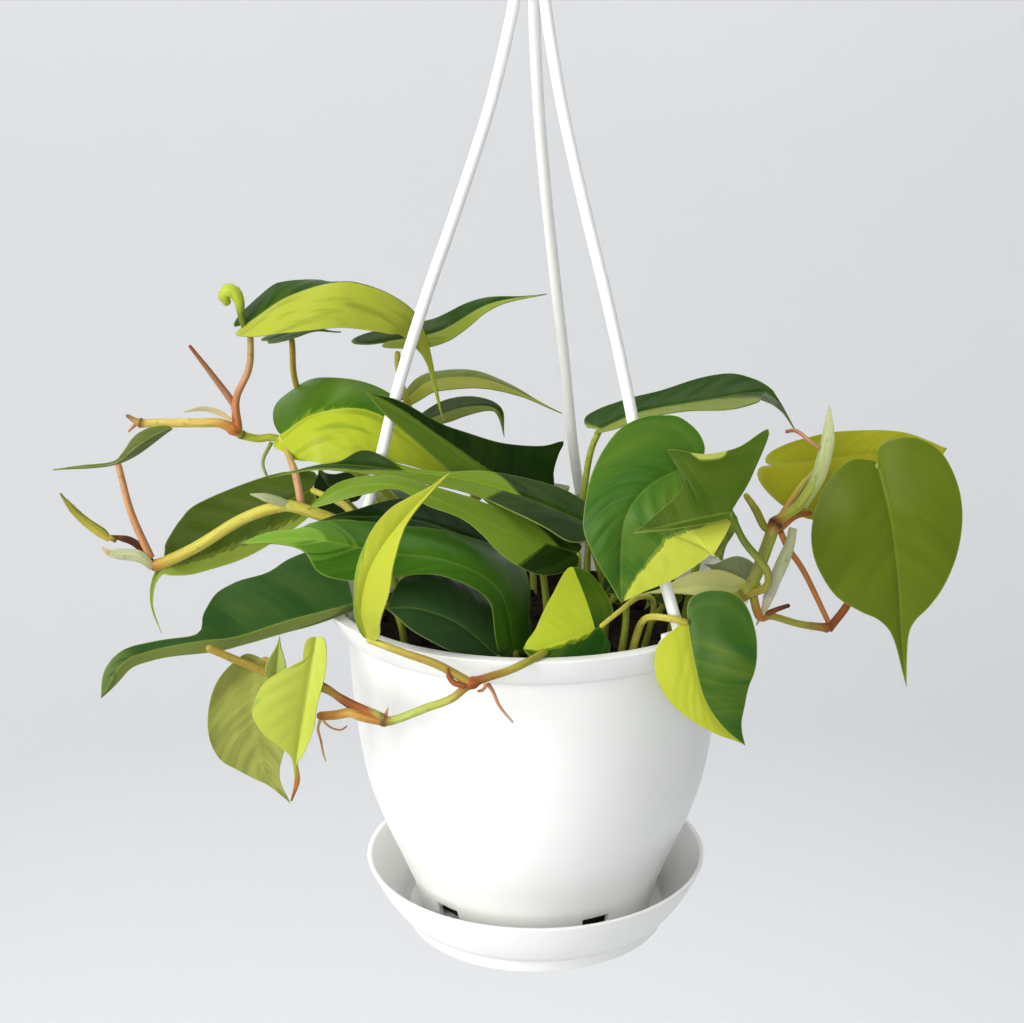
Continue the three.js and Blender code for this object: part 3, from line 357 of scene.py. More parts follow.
# Rods: three slim white moulded rods from the crown to the rim. Each ends in a clip astride the
# rim, with a barb that catches inside it. A rod has its angle round the pot and its sideways bow.
ROD_RADIUS, ROD_SIDES = 2.1, 20
ROD_LINE = [(4.6, 358), (6.5, 344), (15, 311), (27, 277), (40, 243), (51.5, 209), (63, 168),
            (77.4, 134.4)]
RODS = {"rod_left": (197, 0), "rod_back": (74, -3), "rod_right": (310, 0)}
CLIP = [(72.4, 133.3), (70.2, 130), (71.9, 129), (74.6, 133.3), (80.4, 133.3), (80.4, 130.4),
        (82.2, 130.4), (82.2, 135.2), (72.4, 135.2)]
CLIP_WIDTH, CLIP_CORNER = 9, 0.35
DOME = ((0.9, 1), (0.6, 0.9), (0.3, 0.75), (0.1, 0.5), (0, 0.15))
STEM_SHADE = 0.8


def grow_tube(bm, points, radii, tints=(), nodes=(), face=None, flat=1, sides=12, spacing=2.5):
    """A round tube with a domed end, along a smooth path. Radii and tints are given for every
    point of the path, or evenly along it. Each node is a point's number, how far the tube swells
    there, how far along it reaches, and its tint. A flat tube is thin towards its face. The dome's
    rings have their distance from the end and their width in radii. A stem's tints are laid on
    a shade darker, because its gloss lightens them. Gives the tube's skin."""
    path = SmoothPath(points)

    def spread(values, stops):
        spots = path.knots if len(values) == len(points) else np.linspace(0, path.length, len(values))
        return np.interp(stops, spots, values)

    tip = spread(radii, path.length)
    from_end, narrowing = np.transpose(DOME)
    stops = np.linspace(0, path.length, max(3, round(path.length / spacing)) + 1)
    stops = np.append(stops[stops < path.length - 1.1 * tip], path.length - tip * from_end)
    widths = spread(radii, stops)
    widths[-len(DOME):] *= narrowing
    tones = np.stack([spread(channel, stops) for channel in zip(*map(linear, tints or ("#ffffff",)))], -1)
    for point, swell, reach, tint in nodes:
        near = np.exp(-((stops - path.knots[point]) / reach) ** 2)
        widths += swell * near
        tones += (linear(tint) - tones) * near[:, None]

    centres = path.at(stops)
    normal = Vector(face) if face else Vector(path.heading(stops[0])).orthogonal()
    frames = []
    for centre, way, width in zip(centres, map(Vector, path.heading(stops)), widths):
        normal = (normal - way * normal.dot(way)).normalized()
        turn = Matrix((normal, way.cross(normal), way)).transposed().to_4x4()
        frames.append(Matrix.Translation(centre) @ turn @ Matrix.Diagonal((width * flat, width, 1, 1)))

    straight = bm.verts.layers.float_vector.get("straight")
    tint_layer = bm.verts.layers.float_color.get("tint")
    before = set(bm.faces)
    ring = bmesh.ops.create_circle(bm, cap_ends=True, radius=1, segments=sides)["verts"]
    loop = list({e for v in ring for e in v.link_edges})
    bmesh.ops.transform(bm, matrix=frames[0], verts=ring)
    for number, place in enumerate(frames):
        if number:
            made = bmesh.ops.extrude_edge_only(bm, edges=loop)["geom"]
            ring = [g for g in made if isinstance(g, bmesh.types.BMVert)]
            loop = [g for g in made if isinstance(g, bmesh.types.BMEdge) and set(g.verts) <= set(ring)]
            bmesh.ops.transform(bm, matrix=place @ frames[number - 1].inverted(), verts=ring)
        if straight:
            for vert in ring:
                local = place.inverted() @ vert.co * widths[number]
                vert[straight] = (local.x, local.y, stops[number])
                vert[tint_layer] = tones[number] * STEM_SHADE
    bmesh.ops.edgeloop_fill(bm, edges=loop)
    skin = [f for f in bm.faces if f not in before]
    bmesh.ops.recalc_face_normals(bm, faces=skin)
    return skin


def rod_line(degrees, bow):
    """A rod's line stood up at its angle round the pot, bowed sideways in the middle."""
    angle = radians(degrees)
    bows = [bow * sin(pi * step / (len(ROD_LINE) - 1)) for step in range(len(ROD_LINE))]
    return [(r * cos(angle) + side, r * sin(angle), z) for (r, z), side in zip(ROD_LINE, bows)]


for name, (degrees, bow) in RODS.items():
    bm = bmesh.new()
    grow_tube(bm, rod_line(degrees, bow), (ROD_RADIUS, ROD_RADIUS), sides=ROD_SIDES, spacing=6)
    stand = Matrix.Rotation(radians(degrees), 4, "Z")
    outline = [bm.verts.new(stand @ Vector((r, CLIP_WIDTH / 2, z))) for r, z in CLIP]
    side = bm.faces.new(outline)
    made = bmesh.ops.extrude_face_region(bm, geom=[side])["geom"]
    moved = [g for g in made if isinstance(g, bmesh.types.BMVert)]
    bmesh.ops.translate(bm, vec=stand @ Vector((0, -CLIP_WIDTH, 0)), verts=moved)
    clip = [f for f in bm.faces if f.verts[0] in set(outline + moved)]
    bmesh.ops.recalc_face_normals(bm, faces=clip)
    corners = [e for e in bm.edges if e.verts[0] in set(outline + moved)]
    bmesh.ops.bevel(bm, geom=corners, offset=CLIP_CORNER, segments=2, affect="EDGES", profile=0.5,
                    material=-1, clamp_overlap=True)
    rod = finish(bm, name + "_white", white_plastic)
    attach(rod, "root")
    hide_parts(name)

# Crown and hook: a small white boss that takes the rods' upper ends, moulded in one with an open
# hook of round section that hangs the whole plant.
CROWN = [(0, 352), (8, 352), (9, 353.5), (9, 360), (5, 364), (0, 364)]
CROWN_CORNER = 0.8
HOOK_RADIUS, HOOK_WIRE, HOOK_CENTRE = 10.2, 2.2, 388
HOOK_SHANK = [(0, 0, 360), (0, 0, 369), (1.2, 0, 375)]
HOOK_ARC = range(-60, 131, 19)
hook = list(HOOK_SHANK)
for degrees in HOOK_ARC:
    angle = radians(degrees)
    hook.append((HOOK_RADIUS * cos(angle), 0, HOOK_CENTRE + HOOK_RADIUS * sin(angle)))
bm = bmesh.new()
lathe(bm, CROWN, steps=48)
round_corners(bm, CROWN_CORNER, sharper_than=25)
grow_tube(bm, hook, (HOOK_WIRE, HOOK_WIRE), sides=ROD_SIDES)
crown = finish(bm, "white_crown", white_plastic)
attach(crown, "root")
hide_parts("hanger_crown")

# Vines: living stems, each grown in one piece with its nodes, sheaths and aerial roots.
# Young stretches are yellow green, nodes and old ends are orange to brown.
STRAW, YELLOW, SPRING, OLIVE = "#c0a84e", "#d6cd5c", "#a3b045", "#7d8c33"
ORANGE, RUST, BARK, PINK = "#d08a4c", "#a55f34", "#5c3420", "#d3a07c"
PALE, DRY = "#c3c99e", "#e0c48e"
FIBRE_WIDTH, FIBRE_LENGTH, SCAR = 0.625, 8.33, 2
SHEATH_TAPER, SHEATH_TIP, SHEATH_FLAT = (0.6, 1, 0.9), 0.2, 0.2

# Living stem: smooth and waxy, with fine lengthwise lines and small scars. Its colours come from
# the tint along each stem.
stem_skin, tree, shader = surface("living_stem", Roughness=0.42, IOR=1.42, Specular_IOR_Level=0.35)
tint = add_node(tree, "Attribute", attribute_name="tint")
straight = add_node(tree, "Attribute", attribute_name="straight")
lines = add_node(tree, "Mapping", {"Vector": straight.outputs["Vector"],
                                   "Scale": (1 / FIBRE_WIDTH, 1 / FIBRE_WIDTH, 1 / FIBRE_LENGTH)})
fibre = add_node(tree, "TexNoise", {"Vector": lines.outputs["Vector"], "Scale": 1, "Detail": 3})
spots = add_node(tree, "TexNoise", {"Vector": straight.outputs["Vector"], "Scale": 1 / SCAR, "Detail": 3})
shade = add_node(tree, "MapRange", {"Value": fibre.outputs["Fac"], "From Min": 0.3, "From Max": 0.7,
                                    "To Min": 0.8, "To Max": 1.12})
toned = add_node(tree, "Mix", {0: 1.0, 6: tint.outputs["Color"], 7: shade.outputs["Result"]},
                 data_type="RGBA", blend_type="MULTIPLY")
freckle = add_node(tree, "MapRange", {"Value": spots.outputs["Fac"], "From Min": 0.6, "From Max": 0.7,
                                      "To Max": 0.4})
mottled = add_node(tree, "Mix", {0: freckle.outputs["Result"], 6: toned.outputs[2], 7: linear("#8a5a2c")},
                   data_type="RGBA")
tree.links.new(mottled.outputs[2], shader.inputs["Base Color"])
bump = add_node(tree, "Bump", {"Height": fibre.outputs["Fac"], "Strength": 0.3, "Distance": 0.0004})
tree.links.new(bump.outputs["Normal"], shader.inputs["Normal"])


def stem_mesh():
    """An empty bmesh with the layers that stems and leaves are painted by."""
    bm = bmesh.new()
    for name in ("straight", "grain"):
        bm.verts.layers.float_vector.new(name)
    for name in ("lime_share", "rim_distance", "tip_share", "vein_turns", "stray_share"):
        bm.verts.layers.float.new(name)
    for name in ("tint", "dark_tone", "lime_tone", "back_tone"):
        bm.verts.layers.float_color.new(name)
    return bm


def vine(name, strands, sheaths=()):
    """One vine. A strand has a path, radii, colours and any nodes. A sheath is a thin dry scale,
    with its path, where it faces, its half width and its colours."""
    bm = stem_mesh()
    for path, radii, tints, *nodes in strands:
        grow_tube(bm, path, radii, tints, nodes, spacing=1)
    for path, face, half, tints in sheaths:
        radii = [share * half for share in SHEATH_TAPER] + [SHEATH_TIP]
        grow_tube(bm, path, radii, tints, face=face, flat=SHEATH_FLAT, spacing=1)
    made = finish(bm, name + "_stem", stem_skin)
    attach(made, "root")
    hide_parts(name)


# The vine at the upper left, which has lost its tip and dried at the end
vine("vine_upper_left",
     strands=[
         # The stem, from the soil over the rim to its dried end
         ([(-36, 10, 110), (-43, 16, 134), (-54, 26, 159), (-75, 32, 172), (-89.5, 26, 178.7),
           (-98.5, 24, 184.7), (-105, 22, 185), (-110.5, 20, 187), (-113, 17, 190), (-118, 15.5, 192.6),
           (-125, 15, 192.8), (-140, 15, 192.8), (-147.3, 15, 192.9), (-152.6, 15, 195.9)],
          (2.2, 2.2, 2, 1.8, 1.5, 1.5, 1.5, 1.6, 2, 1.8, 1.75, 1.7, 1.5, 0.6),
          (SPRING, SPRING, SPRING, SPRING, SPRING, "#cfd850", "#cfd850", "#cfd850", ORANGE, "#e2b45c",
           "#e8d070", "#e8d070", "#d8b860", "#8f6244"),
          (7, 0.3, 0.8, "#46602a"), (8, 0.7, 1.6, "#d88a50"), (12, 0.5, 1.0, "#7a5a20")),
         # The lower fork of the dried end
         ([(-147.4, 15, 192.8), (-149.2, 15, 192.3), (-152.3, 15, 189.4)],
          (0.9, 0.7, 0.4), (RUST, PINK)),
         # A dried petiole that stands up like a spike
         ([(-112.4, 17.4, 192), (-112.2, 17, 198), (-113, 16, 201), (-120, 15, 211.8),
           (-127.3, 14, 222.5)],
          (1, 1.3, 1.4, 1.1, 0.6), (ORANGE, PINK, "#c08c68", "#b58660", RUST)),
         # A thin root that hangs from the stem
         ([(-100, 24, 183), (-103, 20, 176), (-100, 18, 168)],
          (0.8, 0.5), (SPRING, "#aab58a"))],
     sheaths=[
         # The dry scale along the stem beyond the node
         ([(-113, 14.5, 194), (-118, 14.5, 197), (-124, 14.5, 198.4), (-131, 14.5, 197)],
          (0, -1, 0), 1.1, (DRY, PALE))])

# The thick yellow vine over the left side
vine("vine_left",
     strands=[
         # The stem, yellow where it leaves the pot and brown at its last node
         ([(-36, -14, 110), (-44, -20, 140), (-62, -25, 161), (-83, -26, 171), (-92.5, -24.8, 171),
           (-105.3, -23.6, 166), (-120.4, -22.4, 156.5), (-131.8, -21.2, 150.5), (-139, -20, 147.6)],
          (2.3, 2.3, 2.2, 2.2, 2.15, 2.1, 2.1, 2.1, 2.2),
          (SPRING, SPRING, YELLOW, YELLOW, YELLOW, YELLOW, YELLOW, "#d2bc54", "#b8803e"),
          (8, 0.5, 1.3, RUST))],
     sheaths=[
         # The brown scale that wraps the young leaf
         ([(-138, -20, 147), (-140.6, -20, 152.8), (-145, -20, 157), (-149.6, -20, 158.5),
           (-155, -20, 159.4)],
          (-0.3, -1, 0.2), 1.7, (RUST, BARK, BARK, "#8a5434")),
         # The pale dry scale beside it
         ([(-138, -22, 148), (-142.4, -22, 152), (-148, -22, 153), (-153.2, -22, 153.4),
           (-156.4, -22, 155.8)],
          (0, -1, 0.2), 2.3, ("#b8ac74", PALE, PALE, DRY)),
         # The scale at the bend of the stem
         ([(-84, -26.5, 171), (-90.2, -27.5, 174), (-95.4, -28, 175.8), (-100.6, -28, 177)],
          (0, -1, 0.4), 1.7, ("#b9b583", "#b4b98c", PALE))])

# The vine that hangs over the front of the rim
vine("vine_front",
     strands=[
         # The stem, over the rim and past both nodes to its cut end
         ([(12, -46, 110), (9, -58, 130), (5, -69, 133.5), (0, -78, 133.9), (-8.5, -84.5, 132),
           (-20.5, -88, 129), (-27.6, -86, 122.7), (-36.4, -81, 117.3), (-46.3, -77.6, 112),
           (-51, -77, 111), (-58.8, -75.5, 112), (-62.7, -74, 112.8), (-68, -72.5, 111.3),
           (-74.3, -71, 110.3)],
          (1.9, 1.8, 1.5, 1.35, 1.3, 1.4, 1.4, 1.4, 1.45, 1.6, 1.6, 1.6, 1.6, 1.5),
          (SPRING, SPRING, SPRING, "#b9b650", "#c0b24e", RUST, "#c3bf60", "#c3cc6a", "#c3cc6a", "#b0803e",
           "#d8a850", "#dcb45a", "#d8a04e", "#b87a3c"),
          (5, 0.8, 1.6, "#a85c34"), (9, 0.5, 0.8, "#4a4a22")),
         # The brown branch from the second node to the tan leaf
         ([(-51, -77, 111), (-57.4, -73.3, 111.8), (-64.7, -69.7, 115), (-72.2, -66, 119),
           (-80, -65, 122), (-88, -66, 123)],
          (1.4, 1.4, 1.4, 1.4, 1.4, 1.5), ("#a86d4c", "#a86d4c", "#a86d4c", RUST, RUST)),
         # The straw-coloured end of that branch
         ([(-88, -66, 123), (-100, -68, 129), (-111, -70, 135)],
          (1.5, 1.3), (STRAW, STRAW)),
         # The curled scale at the first node
         ([(-23, -89, 128.4), (-26.6, -89, 129.4), (-28.3, -89, 132), (-28.5, -89, 134.8)],
          (1.1, 1, 0.8, 0.3), (RUST, "#b87048", RUST)),
         # The root at the first node
         ([(-15.5, -88, 128.6), (-13.8, -88, 125.8), (-11.6, -88, 120.5), (-7.3, -88, 114.8)],
          (0.8, 0.6, 0.55, 0.4), ("#c9826a", "#d9a884", "#e6cfae")),
         # A stub beside that root
         ([(-16, -88, 129), (-17, -89, 127), (-19, -89, 126.4)],
          (0.7, 0.4), (PINK, RUST)),
         # A bud at the second node
         ([(-50.6, -77, 112), (-50.2, -77, 113.6), (-49.5, -77, 115.9)],
          (0.8, 0.6, 0.3), (RUST, DRY)),
         # The long root at the cut end
         ([(-72.9, -74, 110), (-73.6, -75, 107.3), (-72.8, -75, 102.9), (-72.2, -75, 98.5),
           (-71.3, -75, 95.2)],
          (0.5, 0.4, 0.25), (DRY, ORANGE, DRY)),
         # The short root at the cut end
         ([(-72, -74, 110), (-69.5, -75, 108), (-66.1, -75, 106.9), (-63.7, -75, 108.4)],
          (0.45, 0.25), (DRY, RUST))],
     sheaths=[
         # The scale at the second node
         ([(-50.6, -78, 111.6), (-52.4, -78.4, 113.6), (-54.6, -78.4, 115.2), (-57, -78, 115.9)],
          (0, -1, 0.2), 1.1, ("#8f8a4a", "#b9b46a", RUST))])

# The thick upright vine at the right
vine("vine_right",
     strands=[
         # The stem, thick and upright, with its two nodes
         ([(50, -26, 110), (55, -34, 126), (64, -41, 139), (73, -43, 144), (77.2, -41.8, 150.8),
           (79.6, -40.5, 157), (82, -39.2, 163.6), (84, -38, 168.4), (88, -36.8, 171.5),
           (92.2, -35.6, 174.3), (97.6, -34.4, 181.7), (101.3, -33.2, 190.3), (102.3, -32, 197)],
          (2.3, 2.3, 2.2, 2.2, 2.2, 2.2, 2.2, 2.1, 1.8, 1.8, 1.8, 1.6, 1),
          (SPRING, SPRING, SPRING, "#b3bc4e", "#b3bc4e", "#b3bc4e", "#b3bc4e", ORANGE, "#b9bc4e",
           "#b3bc4e", "#a9b64a", "#a9b64a", "#98a048"),
          (7, 0.7, 1.4, "#5c3018"), (3, 0.2, 0.8, "#8a6a34")),
         # The branch from the foot of the stem to the petiole of the olive heart
         ([(76, -42, 145), (78.7, -43, 136), (83.6, -39.7, 134.9), (94.1, -36.3, 130.7), (105, -33, 128)],
          (1.6, 1.5, 1.3, 1.3, 1.6), (SPRING, ORANGE, "#b8b450", "#b8b450", RUST),
          (4, 0.6, 1.5, "#b0682f")),
         # A brown stub on that branch
         ([(81.1, -41, 136), (85.4, -41, 138), (89.7, -40, 139.1)],
          (1.1, 0.9, 0.7), (RUST, BARK)),
         # The orange stem from the upper node down to the branch
         ([(86, -37, 165), (88.7, -37, 159.2), (95, -35, 149.7), (104.8, -33, 130)],
          (1.1, 0.95), (ORANGE, ORANGE)),
         # A side shoot to the left of the upper node
         ([(83, -38, 166), (80, -38, 167.4), (76.7, -40, 173.9), (72.5, -42, 180.3)],
          (1.4, 1.4, 1.4, 1), (OLIVE, "#a9a844", "#a9a844", YELLOW)),
         # An orange stub to the right of the upper node
         ([(84, -38, 167), (85.5, -36, 166), (91.3, -33, 169.7), (97.7, -30, 170)],
          (1.6, 1.5, 1.3, 0.9), (ORANGE, ORANGE, "#c8843e", RUST)),
         # A thin root high on the stem
         ([(88, -26, 198.4), (91.5, -27, 198.9), (96, -30, 196), (100.2, -33, 193)],
          (0.6, 0.7, 0.7, 0.6), (RUST, PINK, "#b08060")),
         # A pale shoot behind the stem
         ([(86, -36, 168), (96, -28, 178), (101, -20, 188), (105, -14, 204)],
          (1.1, 0.6), (SPRING, "#cfd3a0"))],
     sheaths=[
         # The tall pale sheath that the next leaf grows from
         ([(93.5, -36.5, 174), (98.5, -35.5, 183.9), (101.3, -34.2, 193.6), (102.2, -33, 202),
           (101.8, -31.5, 209)],
          (-0.4, -1, 0.2), 2.4, ("#a6ad58", "#b3bc7c", "#bcc48e", "#c9cda0")),
         # The dry sheath that hangs from the upper node
         ([(90, -38.5, 167), (88.4, -40, 160), (83.4, -41.5, 147.5), (80.4, -43, 139), (77.6, -44, 133)],
          (-0.3, -1, 0), 2.3, ("#c9c79c", PALE, "#c9cdb6", DRY)),
         # The scale along the stem between the nodes
         ([(81.6, -41, 165), (78.3, -42.4, 157.6), (75.4, -44, 151), (73.6, -45, 145)],
          (-0.8, -0.6, 0), 1.5, ("#a9a85a", "#a9ad6a", "#b7ab6a"))])

# Leaves: waxy heart-shaped blades, folded or curled along the rib, each grown in one piece with its
# petiole. A blade is half a millimetre thick, sunk along the rib and puffed between its side veins.
ROWS, COLUMNS, RIB_CROWDING = 56, 14, 1.25
BLADE_THICKNESS, BLADE_WELD = 0.5, 0.005
VEIN_COUNT, VEIN_SLANT, VEIN_BOW = 8, 0.8, 0.07
PUFF_HEIGHT, GROOVE_DEPTH, GROOVE_WIDTH, WAVE_WIDTH = 0.22, 0.45, 1.2, 16
LEAF_SHADE = 0.74
STREAK_WIDTH, STREAK_LENGTH = 2.94, 22.2
SECTOR_RUN = 0.3
CLOUD_WIDTH, CLOUD_LENGTH = 10, 25
STRAY_WIDTH, STRAY_LENGTH = 3.33, 28.6
BLOTCH_WIDTH, BLOTCH_LENGTH = 8.33, 16.7
HEART = [(0, 0), (-0.12, 0.06), (-0.21, 0.3), (-0.2, 0.6), (-0.08, 0.87), (0.22, 1), (0.45, 0.86),
         (0.64, 0.48), (0.78, 0.18), (0.88, 0.07), (1, 0)]
SLIM = [(0, 0), (-0.05, 0.3), (0.02, 0.66), (0.22, 1), (0.45, 0.86), (0.64, 0.48), (0.8, 0.15), (1, 0)]


def leaf_skin(name, roughness):
    """The parts that both sides of a leaf share: attributes, streaks along the veins and bump."""
    material, tree, shader = surface(name, Roughness=roughness, IOR=1.44, Specular_IOR_Level=0.17,
                                     Subsurface_Weight=0.12, Subsurface_Scale=0.0015)
    shader.inputs["Subsurface Radius"].default_value = (0.6, 1, 0.2)
    grain = add_node(tree, "Attribute", attribute_name="grain")
    stretched = add_node(tree, "Mapping", {"Vector": grain.outputs["Vector"],
                                           "Scale": (1 / STREAK_WIDTH, 1 / STREAK_LENGTH, 1)})
    streaks = add_node(tree, "TexNoise", {"Vector": stretched.outputs["Vector"], "Scale": 1, "Detail": 4,
                                          "Roughness": 0.58})
    return material, tree, shader, grain, streaks


# Upper side: a waxy satin skin. Lime sectors lie in the dark green with a band of middle green
# between, and their edges run out in streaks along the side veins, which show as fine pale lines.
# Cloudy patches run along the side veins too, and stray green lines in the lime run lengthwise.
leaf_face, tree, shader, grain, streaks = leaf_skin("waxy_leaf_upper_side", 0.38)
dark = add_node(tree, "Attribute", attribute_name="dark_tone")
lime = add_node(tree, "Attribute", attribute_name="lime_tone")
lime_share = add_node(tree, "Attribute", attribute_name="lime_share")
rim_distance = add_node(tree, "Attribute", attribute_name="rim_distance")
tip_share = add_node(tree, "Attribute", attribute_name="tip_share")
vein_turns = add_node(tree, "Attribute", attribute_name="vein_turns")
broad = add_node(tree, "Mapping", {"Vector": grain.outputs["Vector"],
                                   "Scale": (1 / CLOUD_WIDTH, 1 / CLOUD_LENGTH, 1)})
clouds = add_node(tree, "TexNoise", {"Vector": broad.outputs["Vector"], "Scale": 1, "Detail": 3})
spread = add_node(tree, "Math", {0: streaks.outputs["Fac"], 1: SECTOR_RUN, 2: -SECTOR_RUN / 2},
                  operation="MULTIPLY_ADD")
sector = add_node(tree, "Math", {0: lime_share.outputs["Fac"], 1: spread.outputs[0]}, operation="ADD")
middle_mask = add_node(tree, "MapRange", {"Value": sector.outputs[0], "From Min": 0.4, "From Max": 0.44},
                       interpolation_type="SMOOTHSTEP")
lime_mask = add_node(tree, "MapRange", {"Value": sector.outputs[0], "From Min": 0.5, "From Max": 0.53},
                     interpolation_type="SMOOTHSTEP")
cloud_mask = add_node(tree, "MapRange", {"Value": clouds.outputs["Fac"], "From Min": 0.4,
                                         "From Max": 0.7, "To Max": 0.14})
clouded = add_node(tree, "Mix", {0: cloud_mask.outputs["Result"], 6: dark.outputs["Color"],
                                 7: lime.outputs["Color"]}, data_type="RGBA")
middle = add_node(tree, "Mix", {0: 0.35, 6: dark.outputs["Color"], 7: lime.outputs["Color"]},
                  data_type="RGBA")
lengthwise = add_node(tree, "Mapping", {"Vector": grain.outputs["Vector"],
                                        "Scale": (1 / STRAY_LENGTH, 1 / STRAY_WIDTH, 1)})
drawn = add_node(tree, "TexNoise", {"Vector": lengthwise.outputs["Vector"], "Scale": 1, "Detail": 4})
stray_share = add_node(tree, "Attribute", attribute_name="stray_share")
stray = add_node(tree, "MapRange", {"Value": drawn.outputs["Fac"], "From Min": 0.48, "From Max": 0.34,
                                    "To Max": stray_share.outputs["Fac"]})
strayed = add_node(tree, "Mix", {0: stray.outputs["Result"], 6: lime.outputs["Color"],
                                 7: dark.outputs["Color"]}, data_type="RGBA")
banded = add_node(tree, "Mix", {0: middle_mask.outputs["Result"], 6: clouded.outputs[2],
                                7: middle.outputs[2]}, data_type="RGBA")
coloured = add_node(tree, "Mix", {0: lime_mask.outputs["Result"], 6: banded.outputs[2],
                                  7: strayed.outputs[2]}, data_type="RGBA")

# Side veins and rib are fine pale lines over the sectors, a thin pale line along the rim is a painted
# edge highlight, and the very tip is dry
parts = add_node(tree, "SeparateXYZ", {"Vector": grain.outputs["Vector"]})
from_rib = add_node(tree, "Math", {0: parts.outputs["Y"]}, operation="ABSOLUTE")
from_vein = add_node(tree, "Math", {0: vein_turns.outputs["Fac"], 1: 0.5}, operation="PINGPONG")
vein_mask = add_node(tree, "MapRange", {"Value": from_vein.outputs[0], "From Min": 0.0, "From Max": 0.12,
                                        "To Min": 0.045, "To Max": 0.0})
veined = add_node(tree, "Mix", {0: vein_mask.outputs["Result"], 6: coloured.outputs[2],
                                7: lime.outputs["Color"]}, data_type="RGBA")
rib_mask = add_node(tree, "MapRange", {"Value": from_rib.outputs[0], "From Min": 0.2, "From Max": 0.6,
                                       "To Min": 0.16, "To Max": 0.0})
ribbed = add_node(tree, "Mix", {0: rib_mask.outputs["Result"], 6: veined.outputs[2],
                                7: linear("#a9b95a")}, data_type="RGBA")
# Painted highlight: a thin pale line along the rim, where light catches the edge
rim_highlight_mask = add_node(tree, "MapRange", {"Value": rim_distance.outputs["Fac"], "From Min": 0.05,
                                       "From Max": 0.35, "To Min": 0.35, "To Max": 0.0})
rim_highlighted = add_node(tree, "Mix", {0: rim_highlight_mask.outputs["Result"], 6: ribbed.outputs[2],
                                7: linear("#b5bf6a")}, data_type="RGBA")
dry_mask = add_node(tree, "MapRange", {"Value": tip_share.outputs["Fac"], "From Min": 0.975,
                                       "From Max": 0.995, "To Max": 0.7})
dried = add_node(tree, "Mix", {0: dry_mask.outputs["Result"], 6: rim_highlighted.outputs[2],
                               7: linear("#7a5a2c")}, data_type="RGBA")
tree.links.new(dried.outputs[2], shader.inputs["Base Color"])
gloss = add_node(tree, "MapRange", {"Value": clouds.outputs["Fac"], "To Min": 0.27, "To Max": 0.42})
tree.links.new(gloss.outputs["Result"], shader.inputs["Roughness"])
bump = add_node(tree, "Bump", {"Height": streaks.outputs["Fac"], "Strength": 0.2, "Distance": 0.0005})
tree.links.new(bump.outputs["Normal"], shader.inputs["Normal"])

# Under side: paler and duller than the upper side, with broad blotches and soft streaks along the
# side veins.
leaf_back, tree, shader, grain, streaks = leaf_skin("dull_leaf_under_side", 0.5)
back = add_node(tree, "Attribute", attribute_name="back_tone")
shade = add_node(tree, "MapRange", {"Value": streaks.outputs["Fac"], "From Min": 0.3, "From Max": 0.7,
                                    "To Min": 0.8, "To Max": 1.1})
broad = add_node(tree, "Mapping", {"Vector": grain.outputs["Vector"],
                                   "Scale": (1 / BLOTCH_WIDTH, 1 / BLOTCH_LENGTH, 1)})
blotches = add_node(tree, "TexNoise", {"Vector": broad.outputs["Vector"], "Scale": 1, "Detail": 2})
blotch = add_node(tree, "MapRange", {"Value": blotches.outputs["Fac"], "From Min": 0.35, "From Max": 0.65,
                                     "To Min": 0.8, "To Max": 1.2})
strength = add_node(tree, "Math", {0: shade.outputs["Result"], 1: blotch.outputs["Result"]},
                    operation="MULTIPLY")
toned = add_node(tree, "Mix", {0: 1.0, 6: back.outputs["Color"], 7: strength.outputs[0]},
                 data_type="RGBA", blend_type="MULTIPLY")
tree.links.new(toned.outputs[2], shader.inputs["Base Color"])
bump = add_node(tree, "Bump", {"Height": streaks.outputs["Fac"], "Strength": 0.3, "Distance": 0.0005})
tree.links.new(bump.outputs["Normal"], shader.inputs["Normal"])


